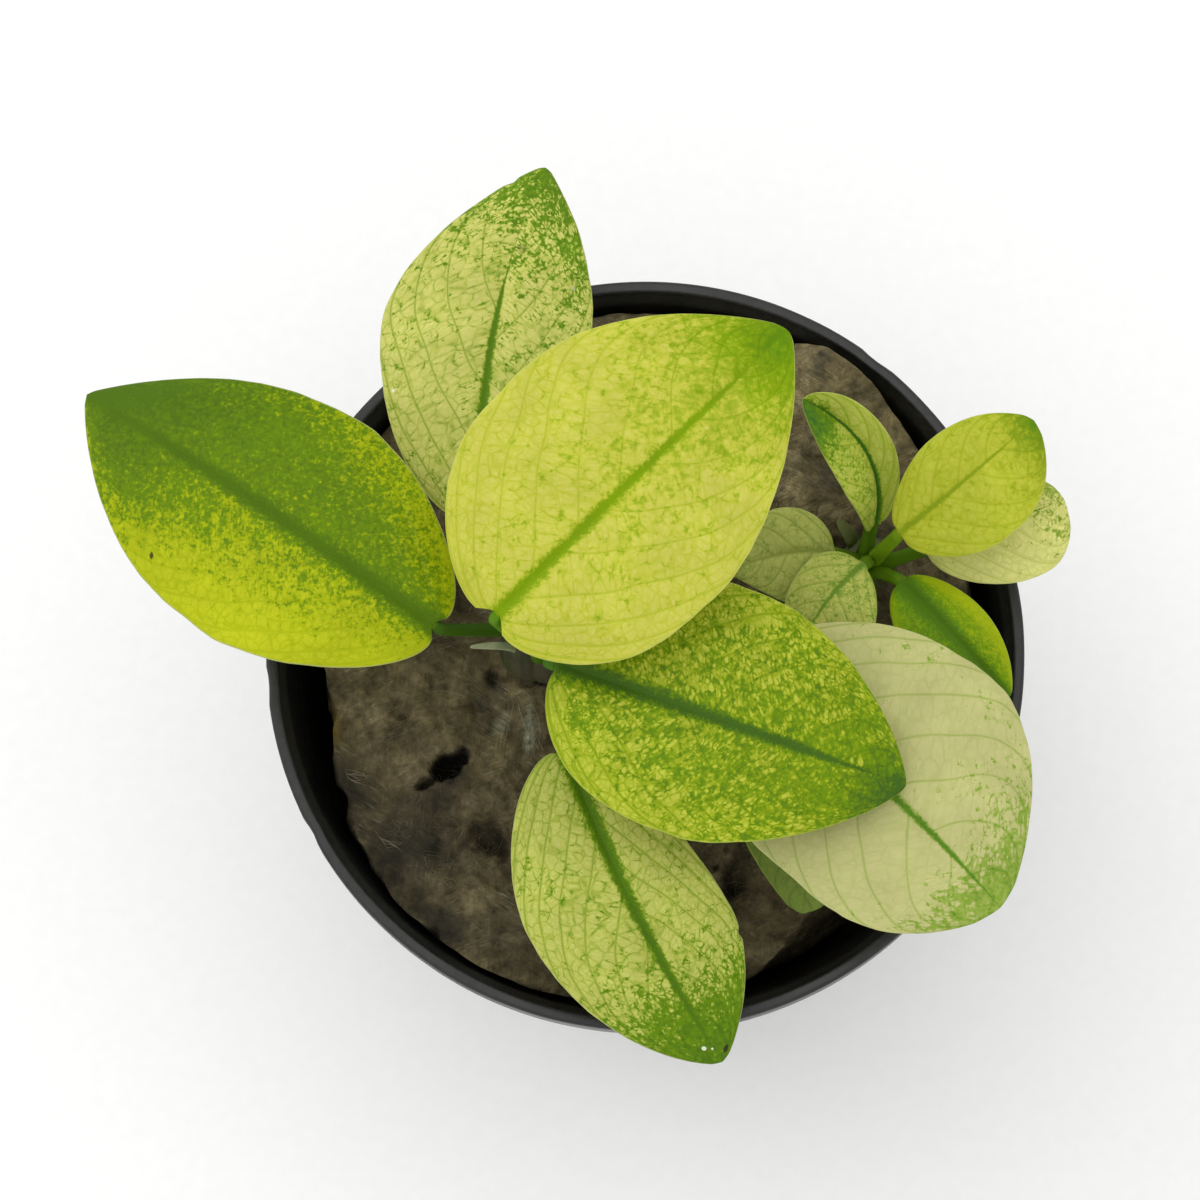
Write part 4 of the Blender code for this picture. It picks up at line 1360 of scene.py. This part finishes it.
@dataclass(frozen=True)
class WoolStrand:
    """Loose fibres of spun stone wool, from brown to straw, each with its own shade."""

    dark: str = "#4a4331"
    middle: str = "#756c54"
    pale: str = "#a59f86"
    grime: float = 0.714  # length of its light and dark stretches, mm

    def material(self) -> bpy.types.Material:
        """Makes the material, which reads each strand's shade from its points."""
        material, tree, shader = new_material("loose_stone_wool_fibres")
        strand = add_node(tree, "Attribute", None, "Vector", attribute_name="strand")
        shade = add_node(tree, "SeparateXYZ", {0: strand})
        browns = ((0.0, self.dark), (0.7, self.middle), (1.0, self.pale))
        colour = set_ramp(add_node(tree, "ValToRGB", {0: shade}), browns)
        surface = add_node(tree, "TexCoord", None, "Object")
        grime = add_node(tree, "TexNoise", {"Vector": surface, "Scale": 1 / (self.grime * MM), "Detail": 2.0})
        tint = add_node(tree, "MapRange", {0: grime, 1: 0.3, 2: 0.7, 3: 0.7, 4: 1.15})
        colour = add_node(tree, "HueSaturation", {"Value": tint, "Color": colour})
        set_inputs(shader, {"Base Color": colour, "Roughness": 0.7})
        return material


@dataclass(frozen=True)
class Hollow:
    """A hollow torn in the top of the wool."""

    x: float
    y: float
    radius: float
    depth: float
    stretch: float = 1.0  # how many times longer than wide
    turn: float = 0.0  # bearing of its long way, degrees


@dataclass(frozen=True)
class Stain:
    """A patch of the wool with its own colour, frosty with dried lime or rusty with algae. The same patches
    also lay its painted shading: some darker, some lighter where shadows fall.
    """

    x: float
    y: float
    wide: float
    long: float
    turn: float  # bearing of its long way, degrees
    tone: float  # for a stain above 0 is frosty and below 0 rusty; for painted shading above 0 is darker and below 0 painted lighter

    def share(self, points: np.ndarray) -> np.ndarray:
        """How strongly it colours each of the points, given as rows of x, y, z in mm."""
        along, across = along_across(points, self.x, self.y, self.turn)
        ragged = 1 + 0.5 * rough(points, 0.9, 2, 9.0)
        return self.tone * np.exp(-(((along / self.long) ** 2 + (across / self.wide) ** 2) * ragged))


@dataclass(frozen=True)
class Wisp:
    """A bundle of pale loose fibres that lies across the wool from one point in plan to another."""

    start: tuple[float, float]
    end: tuple[float, float]
    count: int
    spread: float = 0.3  # mm


@dataclass(frozen=True)
class StrandStyle:
    """Sizes of one kind of loose fibre, in mm where they are lengths."""

    length: tuple[float, float]
    radius: tuple[float, float]
    lift: tuple[float, float]
    stray: float  # how far fibres turn away from the whorls, radians
    bend: float
    pale: float
    steps: int


@dataclass(frozen=True)
class WoolPlug:
    """The growing block: a tapered plug of stone wool with a torn, lumpy top and loose fibres on it."""

    finish: StoneWool = StoneWool()
    strand_finish: WoolStrand = WoolStrand()
    bottom: float = 1.55
    top: float = 45.2
    clearance: float = 0.28
    dents: tuple[tuple[float, float, float], ...] = ((188, 17, 1.8), (-52, 17, 2.9), (5, 22, 0.9))
    dent_height: float = 9.0
    spread: float = 23.9  # radius of the pot's mouth
    rise: float = 1.4  # how much higher the top is at its far side
    rise_from: float = 4.0
    rise_to: float = 16.0
    lump: float = 0.8
    bearings: int = 540
    top_rings: int = 112
    side_rings: int = 36
    hollows: tuple[Hollow, ...] = (
        Hollow(-13.2, -7.4, 0.75, 3.4, 1.7, 38),
        Hollow(-14.6, -8.4, 0.4, 1.8, 2.4, 20),
        Hollow(-14.3, -19.2, 0.8, 1.2, 1.4, 60),
        Hollow(-10.2, -1.3, 0.5, 0.7),
        Hollow(-7.0, -1.3, 0.6, 0.9),
        Hollow(-10.2, -12.4, 0.9, 0.9, 1.5, -20),
        Hollow(-16.5, -3.6, 0.9, 0.5),
        Hollow(6.0, -14.5, 1.2, 1.0, 1.5, 70),
    )
    stains: tuple[Stain, ...] = (
        Stain(-7.7, -4.8, 0.45, 1.8, 88, 1.0),
        Stain(-9.6, -4.4, 0.6, 1.4, 60, 0.5),
        Stain(-10.6, 3.6, 0.5, 0.9, 40, 0.6),
        Stain(-21.2, -4.6, 0.9, 1.6, 95, -1.0),
    )
    # Patches of painted shading: above 0 painted darker, below 0 painted lighter where the shadows of the
    # leaves and the pot's wall fall on the wool
    painted_shading: tuple[Stain, ...] = (
        Stain(-16.0, -12.4, 2.6, 4.2, 70, 0.75),
        Stain(-12.4, -7.6, 1.3, 2.6, 60, 0.6),
        Stain(-12.8, -13.4, 1.6, 3.0, 20, 0.4),
        Stain(-20.0, -8.5, 1.6, 4.0, 110, 0.8),
        Stain(-13.6, -18.0, 1.2, 2.4, 150, 0.7),
        Stain(-9.0, -18.6, 2.6, 3.0, 0, 0.45),
        Stain(-16.5, -3.2, 2.4, 5.0, 20, -0.5),
        Stain(-9.4, -4.8, 2.0, 3.4, 80, -1.0),
        Stain(13.8, 15.6, 3.6, 5.0, 130, -1.5),
        Stain(9.5, 10.5, 2.4, 4.0, 100, -0.8),
    )
    brims: tuple[tuple[float, float], ...] = ((242.0, 21.0), (55.0, 9.0))  # bearings of its swollen sides
    swelling: float = 1.9  # how far it swells up beside the rim there, mm
    crest_radius: float = 22.5  # where it is highest there, mm from the pot's middle
    sown_radius: float = 20.9  # how far out its fibres start
    strand_reach: float = 21.4  # how far out they may lie
    fuzz: StrandStyle = StrandStyle((0.5, 1.5), (0.008, 0.014), (0.0, 0.09), 0.5, 0.35, -0.04, 4)
    loose: StrandStyle = StrandStyle((1.2, 2.6), (0.009, 0.016), (0.02, 0.16), 1.0, 0.5, 0.08, 9)
    wisp: StrandStyle = StrandStyle((0.0, 0.0), (0.009, 0.017), (0.02, 0.18), 0.0, 0.0, 0.35, 9)
    fuzz_count: int = 5200
    loose_count: int = 26
    wisps: tuple[Wisp, ...] = (
        Wisp((-7.8, -3.2), (-7.4, -6.2), 16),
        Wisp((-8.6, -2.8), (-8.9, -5.2), 9),
        Wisp((-20.2, -7.7), (-18.4, -8.2), 10, 0.2),
        Wisp((-19.4, -12.6), (-16.4, -12.8), 7, 0.15),
        Wisp((-12.8, -20.8), (-12.1, -21.1), 5, 0.1),
        Wisp((7.9, -19.5), (10.0, -20.7), 8, 0.2),
        Wisp((7.0, -21.3), (9.2, -22.0), 8, 0.2),
        Wisp((-11.8, 3.2), (-11.0, 4.2), 8),
        Wisp((10.2, 12.4), (12.0, 15.0), 12, 0.6),
        Wisp((7.6, 8.0), (9.2, 11.6), 12, 0.7),
        Wisp((-15.0, 0.6), (-12.6, 1.2), 9, 0.5),
    )

    def wall_radius(self, bearing: np.ndarray, z: np.ndarray, pot: NetPot) -> np.ndarray:
        """Radius of the plug at bearings (degrees) and heights, with its flattened sides.

        Args:
            bearing: Degrees from +X.
            z: Heights, mm.
            pot: The pot around it.

        Returns:
            The radii, mm.
        """
        radius = pot.inner_radius(z) - self.clearance
        fade = np.clip(1 - (self.top - z) / self.dent_height, 0, 1)
        for centre, spread, depth in self.dents:
            radius = radius - depth * fade * np.exp(-((turn_off(bearing, centre) / spread) ** 2))
        turns = np.radians(bearing)
        around = np.stack((np.cos(turns), np.sin(turns)), axis=-1)
        return radius + self.clearance / 2 * fade * self.hug(around)

    def ragged(self, points: np.ndarray) -> np.ndarray:
        """How far the plug's torn side lies inside its full radius at points (rows of x, y, z), mm."""
        near = (1 - ease(points[:, 1], 2.0, 12.0)) * (1 - self.hug(points))
        torn = np.clip(0.35 + rough(points, 3.4, 3, 6.0), 0, 1.2)
        return 0.08 + (0.15 + 0.55 * near * ease(points[:, 2], 36.0, 43.0)) * torn

    def hug(self, points: np.ndarray) -> np.ndarray:
        """How much the wool swells against the rim at the bearings of points, 0 to 1."""
        bearing = np.degrees(np.arctan2(points[:, 1], points[:, 0]))
        total = np.zeros(len(points))
        for centre, spread in self.brims:
            total = total + np.exp(-((turn_off(bearing, centre) / spread) ** 4))
        return np.minimum(total, 1)

    def whorl(self, points: np.ndarray) -> np.ndarray:
        """Smooth values whose contour lines the fibres follow, for rows of x, y, z in mm."""
        return rough(points, 4.4, 2, 3.0)

    def heights(self, points: np.ndarray, rhizomes: Sequence[Rhizome]) -> tuple[np.ndarray, np.ndarray]:
        """Height of the torn top at points in plan.

        Args:
            points: Rows of x and y, mm.
            rhizomes: The stems that lie on it.

        Returns:
            The heights, and how far each point stands out of its surroundings, mm.
        """
        x, y = points[:, 0], points[:, 1]
        swell = 0.5 * np.sin(0.31 * x + 0.9) * np.cos(0.27 * y - 0.4) + 0.25 * np.sin(0.7 * y + 0.5 * x)
        hug = self.hug(points)
        far = np.hypot(x, y)
        edge = 4.8 * (1 - hug) * np.clip(far / self.spread - 0.8, 0, 1) ** 1.5
        edge = edge - self.swelling * hug * ease(far, 16, self.crest_radius)
        level = self.top + swell - edge + self.rise * ease(y, self.rise_from, self.rise_to)
        bent = points + 0.8 * np.stack((rough(points, 4.5, 2, 11.0), rough(points, 4.5, 2, 12.0)), axis=-1)
        torn = np.exp(-((rough(bent, 4.2, 2, 2.0) / 0.13) ** 2))
        torn = torn * ease(rough(points, 6.0, 1, 21.0), -0.3, 0.5)
        tufts = self.lump * rough(bent, 5.0, 2, 1.0) - 0.35 * torn
        tufts = tufts + 0.30 * rough(bent, 1.7, 3, 5.0) + 0.18 * rough(points, 0.6, 3, 8.0)
        for hollow in self.hollows:
            along, across = along_across(points, hollow.x, hollow.y, hollow.turn)
            off = np.hypot(along / hollow.stretch, across) / hollow.radius
            off = off * (1 + 0.5 * rough(points, 1.3, 3, 17.0))
            tufts = tufts - hollow.depth * np.exp(-(off**5))
        level = level + tufts
        for rhizome in rhizomes:
            level = np.minimum(level, rhizome.surface(points, rhizome.wool_gap, -1))
        return level, tufts

    def block(self, pot: NetPot, rhizomes: Sequence[Rhizome]) -> bpy.types.Object:
        """Builds the plug itself.

        Args:
            pot: The pot around it.
            rhizomes: The stems on it.

        Returns:
            The plug.
        """
        turns = ring_angles(self.bearings)
        bearing = np.degrees(turns)
        around = np.stack((np.cos(turns), np.sin(turns)), axis=-1)

        def ring(radius: np.ndarray, z: float) -> np.ndarray:
            """Points at those radii and that height round the plug."""
            return np.column_stack((around * radius[:, None], np.full(radius.shape, z)))

        foot = self.wall_radius(bearing, self.bottom, pot)
        rings = [ring(foot * share, self.bottom) for share in (0.3, 0.6, 0.9)]
        for z in np.linspace(self.bottom, self.top - 1.4, self.side_rings):
            radius = self.wall_radius(bearing, z, pot)
            rings.append(ring(radius - self.ragged(ring(radius, z)), z))
        raised = [np.zeros(self.bearings)] * len(rings)
        crest = self.top + self.rise * ease(self.crest_radius * np.sin(turns), self.rise_from, self.rise_to)
        crest = crest + self.swelling * self.hug(around)
        rim = self.wall_radius(bearing, crest, pot)
        rim = rim - self.ragged(ring(rim, self.top))
        for share in np.linspace(0.99, 0.0, self.top_rings + 1)[:-1]:
            plan = around * (rim * share)[:, None]
            level, tufts = self.heights(plan, rhizomes)
            rings.append(np.column_stack((plan, level)))
            raised.append(tufts)
        middle_level, middle_tuft = self.heights(np.zeros((1, 2)), rhizomes)
        ends = ((0, self.bottom, 0.0), (len(rings) - 1, middle_level[0], middle_tuft[0]))
        points = np.array(rings).reshape(-1, 3)
        # Values for the finish: the patches' painted shading near the top, the tufts' height for the painted
        # shade in the hollows, and the stains
        stained = sum(stain.share(points) for stain in self.stains)
        painted_patches = sum(patch.share(points) for patch in self.painted_shading) * ease(points[:, 2], 38.0, 42.0)
        felt = np.column_stack((painted_patches, np.concatenate(raised), stained))
        mesh = PieceMesh()
        mesh.add(points, ring_faces(len(rings), self.bearings), felt=felt)
        for number, level, tuft in ends:
            mesh.cap(number * self.bearings, self.bearings, UP * level, felt=np.array((0.0, tuft, 0.0)))
        return mesh.object("stone_wool_block", self.finish.material(), crease=80)

    def grown_paths(self, starts: np.ndarray, style: StrandStyle, rng: np.random.Generator) -> np.ndarray:
        """Plan paths of fibres that follow the whorls from their starts.

        Args:
            starts: Plan points that the fibres start from.
            style: Their sizes.
            rng: Source of their differences.

        Returns:
            One path of plan points for each start.
        """
        count = len(starts)
        length = rng.uniform(*style.length, count)
        stray = rng.normal(0, style.stray, count)
        bend = rng.normal(0, style.bend, count)
        path = np.zeros((count, style.steps + 1, 2))
        path[:, 0] = starts
        probes = 0.15 * np.eye(3)[:2]
        for k in range(style.steps):
            here = np.column_stack((path[:, k], np.full(count, self.top)))
            slope = [self.whorl(here + probe) - self.whorl(here - probe) for probe in probes]
            angle = np.arctan2(slope[0], -slope[1]) + stray + bend * (k / style.steps - 0.5)
            move = np.stack((np.cos(angle), np.sin(angle)), axis=-1)
            path[:, k + 1] = path[:, k] + move * (length / style.steps)[:, None]
        return path

    def wisp_paths(self, rng: np.random.Generator) -> np.ndarray:
        """Plan paths of the fibres in the pale bundles."""
        share = np.linspace(0, 1, self.wisp.steps + 1)[None, :, None]
        paths = []
        for wisp in self.wisps:
            ends = [end + rng.normal(0, wisp.spread, (wisp.count, 2)) for end in (wisp.start, wisp.end)]
            across = (ends[1] - ends[0])[:, ::-1] * (-1, 1)
            sag = rng.normal(0.05, 0.12, (wisp.count, 1))[:, :, None] * across[:, None, :]
            straight = ends[0][:, None, :] * (1 - share) + ends[1][:, None, :] * share
            paths.append(straight + sag * np.sin(math.pi * share))
        return np.vstack(paths)

    def strands(
        self,
        name: str,
        path: np.ndarray,
        style: StrandStyle,
        rng: np.random.Generator,
        rhizomes: Sequence[Rhizome],
    ) -> None:
        """Builds fibres that lie on the torn top and over the stems, as one mesh of three-sided tubes.

        Args:
            name: The piece's name.
            path: Plan points of each fibre.
            style: Their sizes.
            rng: Source of their differences.
            rhizomes: The stems on the wool.
        """
        count, stations = path.shape[:2]
        lift = rng.uniform(*style.lift, count)
        radius = rng.uniform(*style.radius, count)
        shade = np.clip(rng.beta(2.0, 3.4, count) + style.pale, 0, 1)
        far = np.linalg.norm(path, axis=-1, keepdims=True)
        path = np.where(far > self.strand_reach, path * self.strand_reach / np.maximum(far, 1e-6), path)
        flat = path.reshape(-1, 2)
        ground = self.heights(flat, rhizomes)[0]
        for rhizome in rhizomes:
            ground = np.maximum(ground, rhizome.surface(flat, 0.0, 1))
        ground = ground.reshape(count, stations)
        share = np.linspace(0, 1, stations)
        chord = ground[:, :1] * (1 - share) + ground[:, -1:] * share
        arch = np.sin(math.pi * (0.1 + 0.8 * share))
        rise = np.maximum(ground, 0.6 * ground + 0.4 * chord) + lift[:, None] * arch
        centres = np.dstack((path, rise))
        along = unit(np.gradient(centres, axis=1) + 1e-9)
        side = unit(np.cross(along, UP) + 1e-9)
        over = np.cross(side, along)
        thick = radius[:, None, None] * (0.35 + 0.65 * arch)[None, :, None]
        sides = [centres + (side * math.cos(turn) + over * math.sin(turn)) * thick for turn in ring_angles(3)]
        points = np.stack(sides, axis=2)
        per = stations * 3
        one = ring_faces(stations, 3) + [(0, 1, 2), (per - 3, per - 2, per - 1)]
        mesh = PieceMesh()
        for i in range(count):
            mesh.add(points[i], one, strand=np.array((shade[i], 0.0, 0.0)))
        place(mesh.object(name, self.strand_finish.material()), Slot.WOOL, "wool_plug")

    def build(self, pot: NetPot, rhizomes: Sequence[Rhizome]) -> None:
        """Builds the plug and its fibres and puts them in place.

        Args:
            pot: The pot around it.
            rhizomes: The stems on it.
        """
        place(self.block(pot, rhizomes), Slot.WOOL, "wool_plug")
        rng = np.random.default_rng(11)
        for name, count, style in (
            ("wool_fuzz", self.fuzz_count, self.fuzz),
            ("wool_loose_fibres", self.loose_count, self.loose),
        ):
            spread = self.sown_radius * np.sqrt(rng.uniform(0, 1, count))
            turn = rng.uniform(0, 2 * math.pi, count)
            starts = np.stack((spread * np.cos(turn), spread * np.sin(turn)), axis=-1)
            inside = spread < self.wall_radius(np.degrees(turn), self.top, pot) - 0.5
            path = self.grown_paths(starts[inside], style, rng)
            self.strands(name, path, style, rng, rhizomes)
        self.strands("wool_wisps", self.wisp_paths(rng), self.wisp, rng, rhizomes)


# Stems


@dataclass(frozen=True)
class StemSkin:
    """Smooth, tough skin of a creeping stem or a sheath: green, corky brown on its scars, softly glossy."""

    name: str
    green: str
    shade: str
    cork: str
    cork_share: float = 0.4
    roughness: float = 0.45

    WRINKLE = 1.11  # size of its wrinkles, mm
    BLOTCH = 4.17  # size of its corky blotches, mm

    def material(self) -> bpy.types.Material:
        """Makes the material."""
        material, tree, shader = new_material(self.name)
        surface = add_node(tree, "TexCoord", None, "Object")
        cells, broad = (
            add_node(tree, "TexNoise", {"Vector": surface, "Scale": 1 / (size * MM), "Detail": detail})
            for size, detail in ((self.WRINKLE, 4.0), (self.BLOTCH, 3.0))
        )
        fresh = add_node(tree, "MapRange", {0: cells, 1: 0.3, 2: 0.7})
        colour = set_ramp(add_node(tree, "ValToRGB", {0: fresh}), ((0.0, self.shade), (1.0, self.green)))
        old = add_node(tree, "MapRange", {0: broad, 1: 0.5, 2: 0.66, 4: self.cork_share})
        colour = lay_over(tree, colour, ((old, self.cork),))
        limits = {0: broad, 1: 0.3, 2: 0.7, 3: self.roughness - 0.1, 4: self.roughness + 0.2}
        dull = add_node(tree, "MapRange", limits)
        bump = add_node(tree, "Bump", {"Height": cells, "Strength": 0.4, "Distance": 0.08 * MM})
        set_inputs(shader, {"Base Color": colour, "Roughness": dull, "Normal": bump, "IOR": 1.45})
        return material


@dataclass(frozen=True)
class Rhizome:
    """A creeping stem: a round tube along its course, with a low ring at each old leaf's scar."""

    name: str
    node: str
    course: tuple[tuple[float, float, float], ...]
    radius: float
    finish: StemSkin
    scar_pitch: float = 1.9
    scar_height: float = 0.07
    sides: int = 32
    rings: int = 90
    wool_gap: float = 0.85

    def surface(self, points: np.ndarray, gap: float, side: int) -> np.ndarray:
        """Height of the stem's upper or lower surface at plan points, with a gap round it.

        Args:
            points: Rows of x and y, mm.
            gap: How far outside the stem, mm.
            side: 1 for the upper surface, -1 for the lower one.

        Returns:
            The heights, and beside the stem one far below the upper or above the lower surface.
        """
        reach = self.radius * (1 + self.scar_height) + gap
        found = np.full(len(points), -1e3)
        for centre in bezier(self.course, np.linspace(0, 1, 33)):
            off = np.hypot(points[:, 0] - centre[0], points[:, 1] - centre[1])
            height = side * centre[2] + np.sqrt(np.clip(reach**2 - off**2, 0, None))
            found = np.where(off < reach, np.maximum(found, height), found)
        return side * found

    def build(self) -> None:
        """Builds the stem, dresses it and puts it in place."""
        s = 0.5 - 0.5 * np.cos(math.pi * (np.arange(self.rings) + 0.5) / self.rings)
        dense = bezier(self.course, np.linspace(0, 1, 60))
        length = float(np.linalg.norm(np.diff(dense, axis=0), axis=-1).sum())
        along = s * length
        from_end = np.minimum(along, length - along)
        round_end = np.sqrt(1 - np.clip(1 - from_end / self.radius, 0, 1) ** 2)
        centres, directions = bezier(self.course, s), bezier_directions(self.course, s)
        turns = ring_angles(self.sides)
        rings = []
        for centre, direction, at, end in zip(centres, directions, along, round_end):
            up = unit(UP - direction * direction[2])
            across = np.cross(direction, up)
            slant = at + 0.35 * np.cos(turns)
            scar = self.scar_height * (np.cos(2 * math.pi * slant / self.scar_pitch) ** 5)
            radius = self.radius * end * (1 + scar)
            skin = np.stack((turns * 1.5, np.full(turns.shape, at)), axis=-1)
            radius = radius * (1 + 0.02 * rough(skin, 1.2, 2, 9.0))
            rings.append(ring_at(centre, (up, across), turns, radius))
        mesh = PieceMesh()
        mesh.add(np.array(rings), ring_faces(len(rings), self.sides))
        for first, share in ((0, 0.0), ((len(rings) - 1) * self.sides, 1.0)):
            mesh.cap(first, self.sides, bezier(self.course, np.array([share])))
        place(mesh.object(self.name, self.finish.material()), Slot.RHIZOME, self.node)


@dataclass(frozen=True)
class Sheath:
    """A tongue-shaped sheath that wrapped a young leaf: a thin oval strip that narrows to a rounded tip."""

    name: str
    node: str
    root: tuple[float, float, float]
    tip: tuple[float, float, float]
    half_width: float
    half_thickness: float
    finish: StemSkin
    sides: int = 24
    rings: int = 26

    def build(self) -> None:
        """Builds the sheath, dresses it and puts it in place."""
        root, tip = np.array(self.root), np.array(self.tip)
        direction = unit(tip - root)
        across = unit(np.cross(direction, UP))
        over = np.cross(across, direction)
        turns = ring_angles(self.sides)
        rings = []
        for s in crowded(self.rings, 0.4)[:-1]:
            wide = self.half_width * math.sqrt(max(0.0, 1 - (s * 0.97) ** 3))
            thick = self.half_thickness * (1 - 0.4 * s) * (0.25 + 0.75 * wide / self.half_width)
            curl = 0.35 * np.cos(turns) ** 2 * self.half_thickness
            centre = root + (tip - root) * s + over * 0.5 * math.sin(math.pi * s)
            ribs = 1 + 0.05 * np.cos(turns * 9)
            depth = np.sin(turns) * thick * ribs + curl
            rings.append(centre + np.outer(np.cos(turns) * wide, across) + np.outer(depth, over))
        mesh = PieceMesh()
        mesh.add(np.array(rings), ring_faces(len(rings), self.sides))
        mesh.join([tuple(range(self.sides))])
        mesh.cap((len(rings) - 1) * self.sides, self.sides, tip)
        place(mesh.object(self.name, self.finish.material()), Slot.SHEATH, self.node)


@dataclass(frozen=True)
class Bud:
    """A resting bud on the side stem: a small upright egg with two overlapping scales."""

    centre: tuple[float, float, float]
    radius: float
    finish: StemSkin
    sides: int = 32
    rings: int = 24
    stretch: float = 1.35  # how much taller than wide

    def build(self) -> None:
        """Builds the bud, dresses it and puts it in place."""
        turns = ring_angles(self.sides)
        pole = UP * self.radius * self.stretch
        rings = []
        for k in range(1, self.rings):
            lift = math.pi * k / self.rings
            seam = 0.06 * np.tanh(6 * (np.cos(turns) * 0.6 + math.cos(lift) - 0.1))
            radius = self.radius * math.sin(lift) * (1 + seam)
            rings.append(ring_at(self.centre - pole * math.cos(lift), np.eye(3)[:2], turns, radius))
        mesh = PieceMesh()
        mesh.add(np.array(rings), ring_faces(len(rings), self.sides))
        for first, end in ((0, -1), ((len(rings) - 1) * self.sides, 1)):
            mesh.cap(first, self.sides, self.centre + pole * end)
        place(mesh.object("resting_bud", self.finish.material()), Slot.SHEATH, "bud_shoot")


# Studio


@dataclass(frozen=True)
class Studio:
    """A pale sweep under soft light, and the camera nearly straight above the pot."""

    elevation: float = 81.0  # of the view, degrees above the horizon
    distance: float = 300.0  # mm from the aim point, which is the middle of the rim
    aim: tuple[float, float, float] = (0.0, 0.0, 48.0)
    pixels_per_mm: float = 15.1  # at the aim point
    picture: float = 1200.0  # side of the picture, pixels
    aim_pixel: tuple[float, float] = (645.5, 651.0)
    sensor: float = 36.0
    floor_radius: float = 3000.0  # mm
    card_fibre: float = 1.11  # mm

    def camera(self) -> None:
        """Makes the camera."""
        data = bpy.data.cameras.new("camera")
        data.sensor_width = self.sensor
        data.lens = self.sensor * self.pixels_per_mm * self.distance / self.picture
        middle = self.picture / 2
        data.shift_x = -(self.aim_pixel[0] - middle) / self.picture
        data.shift_y = (self.aim_pixel[1] - middle) / self.picture
        data.clip_start = 0.01
        camera = bpy.data.objects.new("camera", data)
        bpy.context.scene.collection.objects.link(camera)
        tilt = math.radians(self.elevation)
        back = Vector((0.0, -math.cos(tilt), math.sin(tilt)))
        camera.location = (Vector(self.aim) + back * self.distance) * MM
        camera.rotation_euler = (math.pi / 2 - tilt, 0.0, 0.0)
        bpy.context.scene.camera = camera

    def floor(self) -> None:
        """Makes the sweep: a wide sheet of matt white card."""
        rings, sides = 24, 96
        circle = ring_at(np.zeros(3), np.eye(3)[:2], ring_angles(sides), np.full(sides, self.floor_radius))
        mesh = PieceMesh()
        mesh.add(np.array([circle * (k / rings) ** 2 for k in range(1, rings + 1)]), ring_faces(rings, sides))
        mesh.cap(0, sides, np.zeros(3))
        material, tree, shader = new_material("matt_white_card")
        surface = add_node(tree, "TexCoord", None, "Object")
        settings = {"Vector": surface, "Scale": 1 / (self.card_fibre * MM), "Detail": 3.0}
        fibre = add_node(tree, "TexNoise", settings)
        colour = set_ramp(add_node(tree, "ValToRGB", {0: fibre}), ((0.3, "#fafaf9"), (0.7, "#fdfdfc")))
        set_inputs(shader, {"Base Color": colour, "Roughness": 0.9, "Specular IOR Level": 0.2})
        floor = mesh.object("floor", material)
        if floor.data.polygons[0].normal.z < 0:
            floor.data.flip_normals()

    def lights(self) -> None:
        """Makes a broad overhead light, a weaker one from the far left, and even light all round."""
        for name, size, power, spot in (
            ("overhead", 560.0, 1.12, (-80.0, 110.0, 640.0)),
            ("side", 350.0, 0.42, (-480.0, 260.0, 330.0)),
        ):
            data = bpy.data.lights.new(name, "AREA")
            data.shape = "SQUARE"
            data.size = size * MM
            data.energy = power
            light = bpy.data.objects.new(name, data)
            bpy.context.scene.collection.objects.link(light)
            light.location = Vector(spot) * MM
            light.rotation_euler = (Vector((0, 0, 50)) - Vector(spot)).to_track_quat("-Z", "Y").to_euler()
        world = bpy.data.worlds.new("even_light")
        world.use_nodes = True
        background = world.node_tree.nodes["Background"]
        background.inputs["Color"].default_value = (1.0, 1.0, 1.0, 1.0)
        background.inputs["Strength"].default_value = 0.88
        bpy.context.scene.world = world

    def build(self) -> None:
        """Makes floor, lights and camera, and keeps colours as they are."""
        self.floor()
        self.lights()
        self.camera()
        bpy.context.scene.view_settings.view_transform = "Standard"


def main() -> None:
    """Builds the plant piece by piece, then the studio."""
    logging.basicConfig(level=logging.INFO, format="%(message)s")
    stem = StemSkin("corky_rhizome_skin", "#4b5426", "#2f3417", "#4c4430", cork_share=0.9, roughness=0.6)
    young_stem = StemSkin(
        "green_rhizome_skin", "#4c5a20", "#30381a", "#443f28", cork_share=0.85, roughness=0.6
    )
    sheath = StemSkin("dry_sheath_skin", "#ccd1a6", "#aab084", "#b5ac84", roughness=0.5)
    olive_sheath = StemSkin("olive_sheath_skin", "#5c6a2a", "#46551e", "#5f5a34", roughness=0.5)
    bud = StemSkin("bud_skin", "#b4c070", "#8da04a", "#a8a060", roughness=0.4)
    pot = NetPot()
    course = ((-9.6, 0.6, 47.6), (-5.0, -0.2, 47.4), (1.0, 0.0, 47.3), (6.6, 1.6, 47.2))
    young_course = ((7.9, 2.2, 47.2), (10.6, 3.6, 47.3), (13.6, 5.2, 47.5), (16.4, 6.9, 47.9))
    rhizomes = (
        Rhizome("creeping_stem", "rhizome_main", course, 2.3, stem),
        Rhizome("side_stem", "rhizome_shoot", young_course, 1.65, young_stem, rings=70),
    )
    pot.build()
    WoolPlug().build(pot, rhizomes)
    for rhizome in rhizomes:
        rhizome.build()
    for leaf in LEAVES:
        leaf.build()
    Sheath("sheath_tongue", "sheath_main", (-8.7, -0.2, 50.3), (-11.4, -0.7, 54.0), 0.28, 0.2, sheath).build()
    root, tip = (13.7, 6.9, 49.9), (12.6, 8.1, 51.9)
    Sheath("side_sheath_tongue", "sheath_shoot", root, tip, 0.5, 0.22, olive_sheath).build()
    Bud((16.05, 5.75, 50.4), 0.33, bud).build()
    Studio().build()


if __name__ == "__main__":
    main()
